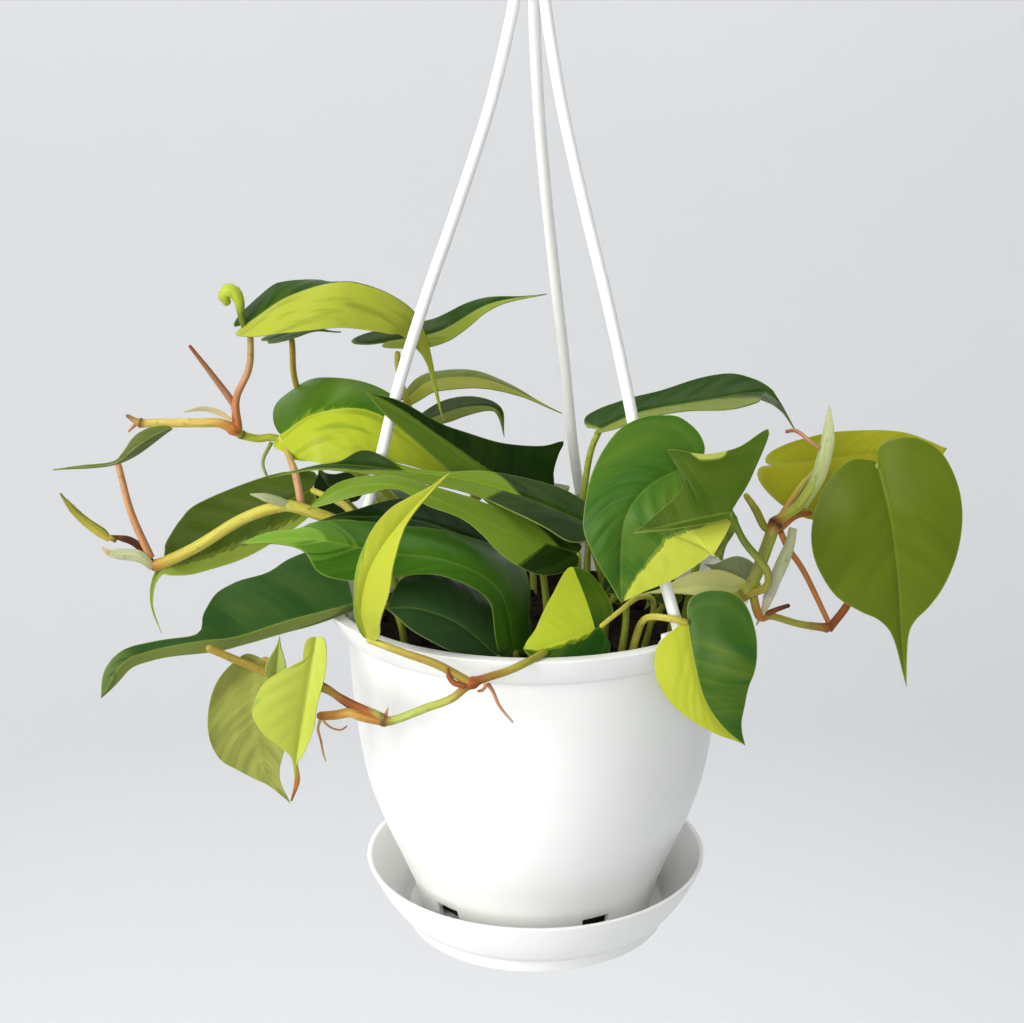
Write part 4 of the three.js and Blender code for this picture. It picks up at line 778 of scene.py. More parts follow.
def grow_blade(bm, rib, face, half, tones, lime, face_tip=None, fold=((0, 0, 0),), curl=(0, 0),
               edge=(HEART, HEART), seed=0, wave=0.5, relief=1, stray=0.06):
    """A blade spread from its rib. Half is its width on the left and on the right of the rib as
    seen along it. Curl lifts the margins in degrees, and edge is each half's outline as shares
    of the rib's length and of the half width. Fold rows lift the halves from the rib, as
    (share from base to tip, left, right). Lime rows say how lime each half is, as (share from
    base to tip, at the rib, at the margin). Stray is how green the streaks in the lime are."""
    path = SmoothPath(rib)
    sides = range(2)
    outlines = [SmoothPath([(x * path.length, y * half[s]) for x, y in edge[s]]) for s in sides]
    rims = np.array([o.at(np.linspace(0, o.length, ROWS + 1)) for o in outlines])
    rims[..., 1] = np.maximum(rims[..., 1], 0)
    feet = [0]
    for row in range(1, ROWS):
        vein = np.mean(rims[:, row, 0] - VEIN_SLANT * rims[:, row, 1])
        feet.append(max(vein, feet[-1] + path.length / ROWS / 7))
    feet = np.array(feet + [path.length])

    verts = bmesh.ops.create_grid(bm, x_segments=2 * COLUMNS, y_segments=ROWS, size=1)["verts"]
    spots = np.array([v.co for v in verts])
    side = (spots[:, 0] > 0).astype(int)
    out = np.abs(spots[:, 0]) ** RIB_CROWDING
    row = np.rint((spots[:, 1] + 1) / 2 * ROWS).astype(int)
    x = feet[row] + (rims[side, row, 0] - feet[row]) * out
    y = rims[side, row, 1] * out

    share = np.clip(x / path.length, 0, 1)
    along = path.heading(share * path.length)
    ways = [np.array(v) / np.linalg.norm(v) for v in (face, face_tip or face)]
    up = ways[0] + (ways[1] - ways[0]) * share[:, None]
    up -= along * np.sum(up * along, axis=1, keepdims=True)
    up /= np.linalg.norm(up, axis=1, keepdims=True)
    sign = np.where(side, 1, -1)
    across = np.cross(along, up) * sign[:, None]

    spots_folded, *lifts = np.transpose(fold)
    left, right = (np.radians(np.interp(share, spots_folded, lift)) for lift in lifts)
    bend = np.where(side, right, left)
    turn = np.radians(curl)[side]
    turn = np.where(np.abs(turn) < 1e-4, 1e-4, turn)
    width = np.array(half, float)[side]
    angle = bend + turn * y / width
    reach = width * (np.sin(angle) - np.sin(bend)) / turn
    rise = width * (np.cos(bend) - np.cos(angle)) / turn
    points = path.at(share * path.length) + path.heading(np.zeros(1)) * np.minimum(x, 0)[:, None]
    points += across * reach[:, None] + up * rise[:, None]
    normals = up * np.cos(angle)[:, None] - across * np.sin(angle)[:, None]

    # The rib lies sunk, the skin puffs up between the side veins and the blade waves a little. The
    # groove fades towards the tip, the puffs towards the rib and the rim, the waves towards the rib.
    vein_foot = feet[row] / path.length - VEIN_BOW * out ** 2
    puff = np.sin(vein_foot * VEIN_COUNT * pi) ** 2 * np.clip(y / 5, 0, 1) * np.clip((1 - out) * 3, 0, 1)
    groove = np.exp(-(y / GROOVE_WIDTH) ** 2) * np.clip((1 - share) * 4, 0, 1)
    groove *= np.cos(np.minimum(2 * np.abs(bend), pi / 2))
    ripple = np.array([noise.noise(Vector(p) / WAVE_WIDTH + Vector((0, 0, seed * 7))) for p in points])
    lift = PUFF_HEIGHT * relief * puff - GROOVE_DEPTH * groove + wave * ripple * np.clip(y / 6, 0, 1)
    points += normals * lift[:, None]

    # The tones are laid on a shade darker, because the wax over them lightens them
    layers = bm.verts.layers
    colours = [[LEAF_SHADE * channel for channel in linear(tone)] for tone in tones]
    rows = [np.array(table) for table in lime]
    for number, vert in enumerate(verts):
        vert.co = points[number]
        s = side[number]
        table = rows[s]
        at_rib, at_rim = (np.interp(row[number] / ROWS, table[:, 0], table[:, k]) for k in (1, 2))
        vert[layers.float["lime_share"]] = at_rib + (at_rim - at_rib) * out[number]
        vert[layers.float["rim_distance"]] = rims[s, row[number], 1] - y[number]
        vert[layers.float["tip_share"]] = share[number]
        vert[layers.float["stray_share"]] = stray
        vert[layers.float["vein_turns"]] = vein_foot[number] * VEIN_COUNT
        vert[layers.float_vector["grain"]] = (
            vein_foot[number] * path.length, sign[number] * y[number], seed * 31)
        for layer, colour in zip(("dark_tone", "lime_tone", "back_tone"), colours):
            vert[layers.float_color[layer]] = colour
    faces = list({f for v in verts for f in v.link_faces})
    bmesh.ops.remove_doubles(bm, verts=verts, dist=BLADE_WELD)
    faces = [f for f in faces if f.is_valid]
    bmesh.ops.recalc_face_normals(bm, faces=faces)
    if Vector(up.mean(axis=0)).dot(sum((f.normal for f in faces), Vector())) < 0:
        bmesh.ops.reverse_faces(bm, faces=faces)

    # The under side is the same skin, half a millimetre below
    lower = list({v for f in faces for v in f.verts})
    bm.normal_update()
    for vert in lower:
        vert[layers.float_vector["straight"]] = vert.normal
    made = bmesh.ops.extrude_face_region(bm, geom=faces)["geom"]
    upper = [item for item in made if isinstance(item, bmesh.types.BMVert)]
    for skin, sign in ((upper, 0.5), (lower, -0.5)):
        for vert in skin:
            vert.co += sign * BLADE_THICKNESS * Vector(vert[layers.float_vector["straight"]])
    top = {item for item in made if isinstance(item, bmesh.types.BMFace)}
    blade = {f for v in upper + lower for f in v.link_faces}
    bmesh.ops.recalc_face_normals(bm, faces=list(blade))
    for face in blade - top:
        face.material_index = 1


seeds = count(1)


def leaf(name, slot, tones, lime, petiole, stalk, radius=(1.5, 1.15), also=(), **shape):
    """One leaf: tones are its green, its lime and its under side, stalk is its petiole's colours,
    and also is any strands that grow on it, each with a path, radii and colours. The rest of its
    shape goes to grow_blade, and the seed sets its patterns apart from the other leaves'."""
    bm = stem_mesh()
    grow_blade(bm, tones=tones, lime=lime, seed=next(seeds), **shape)
    for strand in ((petiole, radius, stalk), *also):
        for face in grow_tube(bm, *strand, sides=10, spacing=1.5):
            face.material_index = 2
    made = finish(bm, name + "_blade", leaf_face, leaf_back, stem_skin, crisp=75)
    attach(made, "root")
    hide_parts(name)


def even(left, right=None):
    """Lime rows of a leaf whose halves are each one tone from base to tip."""
    right = left if right is None else right
    return [[(0, s, s), (1, s, s)] for s in (left, right)]


# Leaves at the upper left: lime and green blades on tall petioles, arched over so that their tips
# hang. Two grow from the nodes of vines and the others from the soil, and the highest one carries a
# young leaf that is still rolled up.
leaf("leaf_crown_lime", "leaf_lime",
     tones=("#2f5418", "#c0c84c", "#b6bf5c"),
     lime=[[(0, 0, 0), (0.6, 0.1, 0), (1, 0.3, 0.2)], [(0, 1, 1), (0.7, 1, 1), (1, 0.6, 0.7)]],
     petiole=[(-111, 17, 190), (-111, 15, 202), (-105, 12, 215), (-104, 12, 231)],
     stalk=(ORANGE, PINK, "#b9b25a"),
     also=[([(-106, 12, 228), (-107.2, 12, 234), (-107.6, 12, 239), (-109.5, 12, 242.6),
             (-112.4, 12, 242.6), (-112.8, 12, 239.6), (-110.8, 12, 238.4)],
            (1, 1.3, 2, 2.7, 2.7, 2.2, 1.2), (OLIVE, OLIVE, "#c8d850", "#c8d850", "#bac648"))],
     rib=[(-105, 12, 231), (-88, 8, 242), (-68, 6, 247), (-49, 8, 240), (-40, 12, 227), (-34, 16, 193)],
     face=(0, -0.15, 1), face_tip=(0.75, -0.5, 0.5), half=(12.5, 18.5),
     fold=[(0, 28, -16), (0.12, 30, -18), (0.27, -5, -22), (0.4, -50, -26), (1, -75, -40)],
     curl=(-20, -25), stray=0.26,
     edge=([(0, 0), (-0.06, 0.3), (-0.02, 0.85), (0.08, 1), (0.2, 0.85), (0.35, 0.6), (0.7, 0.4), (1, 0)],
           [(0, 0), (-0.05, 0.08), (-0.02, 0.35), (0.06, 0.7), (0.18, 0.95), (0.34, 1), (0.52, 0.82),
            (0.69, 0.4), (0.8, 0.12), (1, 0)]))
leaf("leaf_crown_under", "leaf_green",
     tones=("#3c5a2a", "#9aa843", "#7f9148"), lime=even(0.1),
     petiole=[(-32, 26, 110), (-52, 44, 140), (-78, 52, 172), (-92, 47, 198), (-92, 34, 221)],
     stalk=(SPRING, STRAW),
     rib=[(-97, 32, 222), (-87, 38, 224), (-74, 42, 222)], face=(0, 0, 1), half=(7, 8))
leaf("leaf_crown_narrow", "leaf_green",
     tones=("#33551f", "#9fae3c", "#a3ae50"), lime=even(0.1, 0.75),
     petiole=[(-24, 30, 110), (-41, 38, 169), (-51, 36, 204), (-52, 34, 216)], stalk=(SPRING, YELLOW),
     rib=[(-55, 34, 220), (-36, 38, 223), (-17, 40, 233), (5, 44, 236)], face=(0, -0.3, 1),
     half=(8.5, 6.5), fold=[(0, 10, -20)], edge=(HEART, SLIM))
leaf("leaf_rear_arch", "leaf_olive",
     tones=("#5f7a2c", "#b2b64a", "#a8ad50"), lime=even(0.45, 0.9),
     petiole=[(-16, 38, 110), (-36, 46, 150), (-51, 52, 184), (-50, 52, 194)], stalk=(SPRING, YELLOW),
     rib=[(-50, 52, 194), (-39, 54, 201), (-17, 56, 200), (11, 58, 186)], face=(0, -0.2, 1), half=(9, 8),
     fold=[(0, -5, -15)], edge=(SLIM, SLIM))
leaf("leaf_rear_low", "leaf_olive",
     tones=("#3b5426", "#8f9c3c", "#9aa84c"), lime=even(0.3, 0.6),
     petiole=[(-6, 44, 110), (-22, 55, 148), (-36, 62, 174), (-44, 64, 182)], stalk=(SPRING, YELLOW),
     rib=[(-44, 64, 182), (-28, 66, 187), (-15, 66, 186), (-12, 64, 175)], face=(0, -0.2, 1), half=(9, 8),
     fold=[(0, 5, -5)], edge=(SLIM, SLIM))
leaf("leaf_left_lime", "leaf_lime",
     tones=("#4a7a1f", "#c4d03e", "#b3bf55"),
     lime=[[(0, 0.2, 0), (0.5, 0.45, 0.1), (1, 0.3, 0.1)],
           [(0, 1, 1), (0.55, 1, 1), (0.8, 0.52, 0.8), (1, 0.4, 0.7)]],
     petiole=[(-83, -24, 169.5), (-84.1, -21, 176), (-86.3, -13, 180.5), (-90, 4, 180.5), (-93, 15, 182),
              (-96, 20, 186.5)],
     stalk=(PINK, "#d9b183", "#d7b56a", YELLOW),
     rib=[(-96, 20, 187), (-82, 16, 196), (-63, 14, 198), (-44, 12, 188), (-27, 14, 172)],
     face=(0, -0.35, 1), face_tip=(0.3, -0.4, 1), half=(19, 20), fold=[(0, 18, -25)], curl=(-20, -20),
     stray=0.34,
     edge=([(0, 0), (-0.04, 0.5), (-0.06, 1.1), (-0.04, 1.5), (0.05, 1.6), (0.27, 1), (0.45, 0.7),
            (0.8, 0.3), (1, 0)],
           [(0, 0), (-0.05, 0.15), (0, 0.4), (0.06, 0.75), (0.22, 1.05), (0.42, 1.05), (0.6, 0.8),
            (0.77, 0.55), (0.92, 0.25), (1, 0)]))

# Leaves over the middle of the pot: long dark and olive blades on upright petioles from the soil.
# They lie over each other with their tips to the left, and the peaked one turns a margin up.
leaf("leaf_centre_peak", "leaf_green",
     tones=("#1e3f08", "#769530", "#6f8a3c"),
     lime=[[(0, 0.5, 0.8), (0.6, 0.9, 0.9), (1, 1, 1)],
           [(0, 0.1, -0.2), (0.4, 0.8, -2), (0.75, 1, -1.5), (1, 1, 0.4)]],
     petiole=[(6, -6, 110), (3, -6, 140), (-2, -6, 166)], stalk=(SPRING, SPRING),
     rib=[(-2, -6, 166), (-23, -12, 184), (-41, -19, 200), (-59, -25, 213)], face=(-0.25, -0.55, 0.8),
     half=(8, 30), fold=[(0, -20, 10)], curl=(0, -10),
     edge=([(0, 0), (0, 0.5), (0.2, 1), (0.6, 0.8), (0.85, 0.5), (1, 0)],
           [(0, 0), (-0.08, 0.34), (-0.04, 0.6), (-0.03, 0.86), (-0.03, 1.06), (0.07, 0.8), (0.25, 0.5),
            (0.42, 0.33), (0.6, 0.18), (0.83, 0.13), (1, 0)]))
leaf("leaf_centre_over", "leaf_olive",
     tones=("#26480c", "#88a42e", "#8fa050"),
     lime=[[(0, 0, 0), (0.36, 0.1, 0), (0.43, 0.9, 0.9), (0.62, 0.8, 0.9), (0.75, 0.2, 0.6),
            (1, 0.1, 0.5)],
           [(0, 0, 0), (0.32, 0.1, 0), (0.38, 0.9, 0.8), (0.6, 0.9, 0.9), (0.7, 0.1, 0.1), (1, 0.1, 0)]],
     petiole=[(24, -28, 110), (25, -32, 140), (18, -35, 168)], stalk=(SPRING, SPRING),
     rib=[(18, -35, 168), (-2, -32, 176), (-22, -30, 182), (-47, -30, 186), (-71, -30, 188),
          (-93, -32, 184)],
     face=(0, -0.12, 1), half=(10, 15), fold=[(0, -5, 16)], curl=(0, -10),
     edge=([(0, 0), (-0.03, 0.8), (0.02, 1.6), (0.11, 1.4), (0.26, 1.1), (0.46, 0.8), (0.6, 0.6),
            (0.75, 0.5), (0.9, 0.1), (1, 0)],
           [(0, 0), (0, 0.6), (0.1, 0.85), (0.2, 0.75), (0.35, 0.45), (0.48, 0.12), (0.6, 0.22),
            (0.71, 0.62), (0.78, 0.13), (0.86, 0.06), (1, 0)]))
leaf("leaf_centre_under", "leaf_lime",
     tones=("#26400f", "#7f9c32", "#93a24c"),
     lime=[[(0, 0, 0), (0.2, 0.1, 0), (0.27, 0.8, 0.8), (1, 0.9, 0.9)],
           [(0, 0, 0), (0.16, 0.1, 0), (0.22, 0.8, 0.8), (1, 0.9, 0.9)]],
     petiole=[(12, -36, 110), (15, -40, 140), (15, -44, 160)], stalk=(SPRING, SPRING),
     rib=[(15, -44, 160), (-5, -47, 167), (-22, -47.5, 175), (-36, -46, 181), (-50, -43, 184.5),
          (-66, -40, 182), (-79, -38, 174)],
     face=(0, -0.5, 1), half=(14, 9), fold=[(0, -28, 0)], curl=(-10, 0),
     edge=([(0, 0), (0, 0.4), (0.1, 0.8), (0.19, 0.75), (0.27, 0.55), (0.33, 0.35), (0.42, 0.2),
            (0.53, 0.25), (0.65, 0.1), (0.77, 0.25), (0.88, 0.25), (1, 0)],
           [(0, 0), (0, 0.5), (0.2, 1), (0.4, 0.8), (0.6, 0.5), (0.85, 0.5), (0.95, 0.2), (1, 0)]))
leaf("leaf_mid_dark", "leaf_green",
     tones=("#1f4212", "#6c8a34", "#6f8a3c"), lime=even(0.05),
     petiole=[(-8, -24, 110), (-11, -27, 140), (-16, -30, 158)], stalk=(SPRING, SPRING),
     rib=[(-16, -30, 158), (-40, -32, 168), (-65, -36, 171), (-79, -40, 169)], face=(0, -0.4, 1),
     half=(12, 14), edge=(SLIM, SLIM))
leaf("leaf_back_dark", "leaf_green",
     tones=("#2c3f1c", "#6c8a34", "#6f8a3c"), lime=even(0.05),
     petiole=[(-46, 0, 110), (-57, 0, 150), (-70, 0, 167)], stalk=(SPRING, SPRING),
     rib=[(-70, 0, 167), (-77, 2, 173), (-80, 4, 179)], face=(0, -0.6, 0.8), half=(10, 10))

# Leaves at the left: one spread behind the yellow vine, one seen edge-on, a young one still rolled
# to a spear, and a long dark blade whose front half hangs down from its rib. Three grow from the
# yellow vine, and the dark one from the soil.
leaf("leaf_left_back", "leaf_olive",
     tones=("#4e6412", "#9dae3c", "#a3ad5c"),
     lime=[[(0, 0.1, 0.6), (0.6, 0.1, 0.8), (1, 0.8, 0.8)],
           [(0, 0.1, 0.1), (0.6, 0.2, 0.2), (1, 0.9, 0.9)]],
     petiole=[(-64, -25, 162), (-68, -14, 168), (-82, -4, 172)], stalk=(YELLOW, YELLOW),
     rib=[(-82, -4, 172), (-108, -8, 160), (-126, -12, 151), (-138, -12, 143), (-141, -14, 132),
          (-138, -14, 119)],
     face=(0, -0.8, 0.6), half=(11, 15), fold=[(0, -10, 10)], wave=0.3,
     edge=([(0, 0), (0, 0.5), (0.1, 0.9), (0.35, 1.1), (0.56, 0.8), (0.68, 0.4), (0.74, 0.1), (1, 0)],
           [(0, 0), (-0.05, 0.3), (0.03, 0.6), (0.16, 0.8), (0.43, 0.95), (0.53, 0.8), (0.63, 0.5),
            (0.7, 0.12), (1, 0)]))
leaf("leaf_left_edge", "leaf_olive",
     tones=("#6b7d3a", "#97a352", "#8f9a58"), lime=even(0.4),
     petiole=[(-139, -20, 151), (-145, -20, 168), (-149, -18, 186)], stalk=("#d9a070", "#d9a878"),
     rib=[(-129, -16, 198), (-148, -18, 186), (-172, -20, 184)], face=(0, -0.3, 1), half=(6, 6),
     fold=[(0, 50, 50)],
     edge=([(0, 0), (0.03, 0.4), (0.15, 0.9), (0.3, 1), (0.45, 0.5), (0.53, 0.22), (0.75, 0.2),
            (1, 0)],) * 2)
leaf("leaf_left_spear", "leaf_olive",
     tones=("#8f9a3a", "#c2bf4c", "#b0b052"), lime=even(0.7),
     petiole=[(-151, -20, 157.6), (-154, -20, 159)], stalk=(BARK, YELLOW), radius=(1, 1),
     also=[([(-153.3, -20, 158.1), (-156.8, -20, 160.6), (-161.5, -20, 164.5), (-166.2, -20, 169.4),
             (-170.1, -20, 175.4)],
            (1.2, 1.7, 1.6, 1.2, 0.3), ("#d2bd50", "#c2b94a", "#aaa53c", "#8f8a34"))],
     rib=[(-154, -20, 159), (-163, -20, 166), (-170, -20, 175)], face=(0, -0.3, 1), half=(2.4, 2.4),
     fold=[(0, 55, 55)], curl=(60, 60),
     edge=([(0, 0), (0.02, 0.5), (0.15, 0.8), (0.5, 0.7), (0.8, 0.4), (1, 0)],) * 2)
leaf("leaf_left_dark", "leaf_green",
     tones=("#3b622e", "#98a650", "#93a056"),
     lime=[[(0, 0.42, 0.45), (0.4, 0.6, 0.6), (0.75, 0.6, 0.65), (1, 0.5, 0.5)],
           [(0, 0, 0), (0.7, 0, 0), (0.85, 0.4, 0.42), (1, 0.45, 0.5)]],
     petiole=[(-46, -28, 110), (-50, -31, 134), (-64, -40, 140)], stalk=(SPRING, SPRING),
     rib=[(-64, -40, 140), (-86, -46, 136), (-104, -52, 132), (-116, -56, 132), (-132, -60, 130),
          (-141, -64, 127), (-149, -66, 115)],
     face=(0, -0.6, 0.8), half=(8, 20), fold=[(0, -90, 10)], curl=(0, -15),
     edge=([(0, 0), (0, 0.4), (0.13, 0.8), (0.3, 0.8), (0.43, 0.7), (0.54, 0.9), (0.72, 0.7), (0.91, 0.6),
            (1, 0)],
           [(0, 0), (0, 0.8), (0.07, 1.3), (0.17, 1.3), (0.26, 1.1), (0.37, 1.1), (0.48, 0.95),
            (0.54, 0.55), (0.57, 0.15), (0.7, 0.15), (0.9, 0.2), (1, 0)]))

# Leaves over the front of the rim: a broad green blade that arches to the left with a dark one
# under it, a lime one folded like a boat with its tip up, and a small heart, half of it lime.
leaf("leaf_front_big", "leaf_green",
     tones=("#4b7b1c", "#93bd48", "#86a04a"),
     lime=[[(0, 0, 0), (0.6, 0, 0), (0.8, 0.5, 0.42), (0.92, 0.6, 0.6), (1, 0.8, 0.8)],
           [(0, 0, 0), (0.6, 0, 0), (0.78, 0.45, 0.4), (0.9, 0.65, 0.6), (1, 0.8, 0.8)]],
     petiole=[(-4, -44, 110), (-7, -50, 126)], stalk=(SPRING, SPRING),
     rib=[(-7, -50, 126), (-12, -56, 150), (-29, -60, 162), (-52, -62, 166), (-75, -66, 172),
          (-98, -72, 172)],
     face=(0.4, -0.5, 0.8), face_tip=(0, -0.5, 0.8), half=(24, 22), fold=[(0, -10, 0)], curl=(-20, -30),
     edge=([(0, 0), (0.02, 0.3), (0.26, 0.26), (0.45, 0.27), (0.57, 0.4), (0.68, 0.54), (0.77, 0.5),
            (0.82, 0.2), (0.9, 0.06), (1, 0)],
           [(0, 0), (-0.08, 0.5), (-0.04, 1), (0.09, 1.2), (0.22, 1.1), (0.34, 0.8), (0.5, 0.7),
            (0.6, 0.72), (0.77, 0.4), (0.83, 0.2), (0.91, 0.17), (1, 0)]))
leaf("leaf_front_dark", "leaf_green",
     tones=("#3d5f33", "#6d8452", "#7d9058"), lime=even(0.1),
     petiole=[(-13, -49, 110), (-13, -57, 127)], stalk=(SPRING, SPRING),
     rib=[(-13, -57, 127), (-26, -61, 140), (-39, -63, 146), (-50, -65, 147)], face=(0.2, -0.6, 0.8),
     half=(12, 17.5), fold=[(0, -10, 14)], curl=(0, -45),
     edge=([(0, 0), (0, 0.3), (0.18, 0.6), (0.48, 0.9), (0.8, 0.7), (0.95, 0.2), (1, 0)],
           [(0, 0), (-0.08, 0.3), (0.03, 0.8), (0.15, 1.3), (0.35, 1.65), (0.55, 1.55), (0.74, 1),
            (0.86, 0.7), (0.96, 0.26), (1, 0)]))
leaf("leaf_front_fold", "leaf_lime",
     tones=("#93b84e", "#cbd14a", "#c2c84e"),
     lime=[[(0, 0.7, 0.3), (0.5, 0.8, 0.42), (1, 1, 0.9)], [(0, 1, 1), (1, 1, 1)]],
     petiole=[(-22, -88, 129.5), (-32, -87, 135), (-44, -83, 138), (-56, -76, 140)],
     stalk=(STRAW, STRAW, YELLOW),
     rib=[(-56, -76, 140), (-57, -82, 152), (-54, -88, 166), (-48, -92, 178), (-39, -92, 189),
          (-26, -92, 202)],
     face=(-0.1, -1, 0.2), half=(7.4, 10), fold=[(0, 15, 36)],
     edge=([(0, 0), (0.02, 0.15), (0.09, 0.28), (0.26, 0.39), (0.4, 0.57), (0.51, 0.69), (0.61, 0.8),
            (0.71, 0.75), (0.79, 0.5), (0.88, 0.2), (1, 0)],
           [(0, 0), (0.05, 0.6), (0.22, 1), (0.42, 1.2), (0.54, 0.85), (0.64, 0.45), (0.72, 0.2),
            (0.85, 0.06), (1, 0)]))
leaf("leaf_front_heart", "leaf_lime",
     tones=("#2c5c14", "#cfdd42", "#b6c24e"),
     lime=[[(0, 0.1, 0), (0.7, 0.6, 0), (1, 0.7, 0.1)],
           [(0, 0.4, 0), (0.43, 0.1, 0), (0.47, 1, 1), (1, 1, 1)]],
     petiole=[(38, -24, 110), (42, -38, 138), (36, -54, 147), (28, -62, 144), (22, -65, 140)],
     stalk=(SPRING, YELLOW), radius=(1.2, 0.85),
     rib=[(22, -65, 140), (12, -70, 138), (3, -73, 136), (-4, -74, 135.6)], face=(0.2, -0.8, 0.6),
     half=(16, 22), fold=[(0, -12, 10)], curl=(-20, -10),
     edge=([(0, 0), (-0.05, 0.48), (0.18, 0.68), (0.56, 0.49), (0.91, 0.18), (1, 0)],
           [(0, 0), (-0.18, 0.05), (-0.24, 0.22), (-0.22, 0.5), (-0.15, 0.82), (0.01, 1.01), (0.15, 0.99),
            (0.53, 0.61), (0.89, 0.2), (1, 0)]))

# Leaves hanging at the lower left, on the end of the front vine: a dull tan blade that shows its
# under side, a bright lime one in front of it, and a small pale one between them.
leaf("leaf_low_tan", "leaf_tan",
     tones=("#98a040", "#c3c886", "#b8bd66"), lime=even(0.35),
     petiole=[(-88, -66, 123), (-90, -62, 126), (-94, -60, 127)], stalk=(RUST, STRAW), radius=(1.2, 1.1),
     rib=[(-94, -60, 127), (-96, -62, 113), (-96, -61, 95), (-93, -58, 81), (-87, -56, 71)],
     face=(0, 1, 0), half=(15, 16), fold=[(0, -10, -10)], curl=(-20, -20),
     edge=([(0, 0), (-0.02, 0.4), (0.09, 0.8), (0.2, 1.04), (0.32, 1.15), (0.44, 1.14), (0.56, 0.97),
            (0.65, 0.65), (0.75, 0.34), (0.84, 0.1), (1, 0)],
           [(0, 0), (0, 0.4), (0.14, 0.76), (0.36, 0.79), (0.58, 0.55), (0.78, 0.23), (1, 0)]))
leaf("leaf_low_lime", "leaf_lime",
     tones=("#a9c470", "#d3dc62", "#d3dc62"),
     lime=[[(0, 1, 1), (1, 1, 1)],
           [(0, 1, 1), (0.35, 1, 0.9), (0.5, 1, 0.45), (0.65, 1, 0.6), (1, 1, 1)]],
     petiole=[(-51, -77, 112), (-62, -76, 117), (-71, -75.5, 122), (-76, -77.5, 123)],
     stalk=(ORANGE, RUST, YELLOW),
     also=[([(-81, -81, 97), (-80.6, -81, 91), (-83, -80, 83)], (0.9, 1, 0.3), (YELLOW, ORANGE, RUST))],
     rib=[(-73, -74, 140), (-76, -78, 123), (-79, -80, 107), (-80.6, -82, 97), (-81, -82, 91)],
     face=(0.2, -1, 0.1), half=(7, 17), fold=[(0, 30, 10)], curl=(0, -20),
     edge=([(0, 0), (0, 0.4), (0.09, 0.64), (0.24, 0.74), (0.43, 0.6), (0.62, 0.6), (0.8, 0.3),
            (0.86, 0.05), (1, 0)],
           [(0, 0), (0.02, 0.18), (0.1, 0.22), (0.19, 0.22), (0.25, 0.56), (0.36, 0.9), (0.55, 1.02),
            (0.68, 0.76), (0.76, 0.41), (0.84, 0.1), (1, 0)]))
leaf("leaf_low_small", "leaf_olive",
     tones=("#b2c068", "#c2cc78", "#bec67c"), lime=even(0.4),
     petiole=[(-87, -66.5, 123), (-88, -70, 123)], stalk=(RUST, SPRING), radius=(0.9, 0.9),
     rib=[(-88, -70, 123), (-87, -70, 131), (-86, -70, 139)], face=(0, -1, 0.2), half=(4, 4),
     fold=[(0, 30, 30)], edge=(SLIM, SLIM))

# Leaves at the right: three broad hearts that face the front, an olive blade that hides part of one
# of them, a long one arched over the back, and a golden one at the far right. The narrow pale ones
# and the two small dark ones stand inside the rim.
leaf("leaf_right_low", "leaf_green",
     tones=("#3f6c28", "#d9e04e", "#b9c65a"),
     lime=[[(0, 0.2, 0), (1, 0.2, 0)], [(0, 0.7, 1), (0.3, 0.9, 1), (1, 1, 1)]],
     petiole=[(32, -46, 110), (35, -50, 130), (38, -59, 141), (46, -65, 143), (52, -64, 141)],
     stalk=(SPRING, YELLOW, YELLOW),
     rib=[(52, -64, 141), (54, -70, 129), (57.5, -72, 116.5), (64, -71, 106), (72, -68, 98)],
     face=(-0.1, -1, 0.2), half=(24, 13), fold=[(0, 10, 20)], curl=(-30, -10),
     edge=([(0, 0), (-0.1, 0.02), (-0.17, 0.12), (-0.19, 0.38), (-0.15, 0.68), (-0.04, 0.86),
            (0.15, 0.92), (0.33, 0.86), (0.52, 0.7), (0.68, 0.5), (0.8, 0.29), (0.9, 0.13), (1, 0)],
           [(0, 0), (0, 0.2), (0.03, 0.4), (0.1, 0.81), (0.19, 1.03), (0.32, 1.08), (0.45, 0.91),
            (0.57, 0.63), (0.72, 0.34), (0.88, 0.1), (1, 0)]))
leaf("leaf_right_big", "leaf_green",
     tones=("#4a7a2a", "#dbe25c", "#b3c056"),
     lime=[[(0, 0, 0), (0.2, 0, 0), (0.28, -0.8, 0.8), (0.45, -1, 1.3), (0.65, -1, 1.6), (0.9, -0.5, 1.5),
            (1, 0.4, 0.5)],
           [(0, 0, 0), (1, 0.1, 0)]],
     petiole=[(52, -16, 110), (57, -23, 143), (60, -36, 170), (54, -52, 194)], stalk=(SPRING, SPRING),
     rib=[(54, -52, 194), (39, -58, 188), (31, -62, 179), (29, -64, 167), (29, -66, 149)],
     face=(-0.2, -0.8, 0.6), face_tip=(0.1, -0.9, 0.5), half=(34, 23), fold=[(0, 5, 15)], curl=(-5, -25),
     relief=3.5,
     edge=([(0, 0), (-0.07, 0.3), (-0.03, 0.61), (0.05, 0.8), (0.2, 0.95), (0.4, 1), (0.58, 0.98),
            (0.7, 0.86), (0.79, 0.73), (0.88, 0.49), (0.94, 0.22), (1, 0)],
           [(0, 0), (-0.08, 0.07), (-0.11, 0.29), (-0.1, 0.53), (-0.05, 0.8), (0.08, 0.97), (0.22, 0.99),
            (0.32, 0.88), (0.42, 0.75), (0.53, 0.62), (0.61, 0.57), (0.71, 0.44), (0.84, 0.24), (1, 0)]))
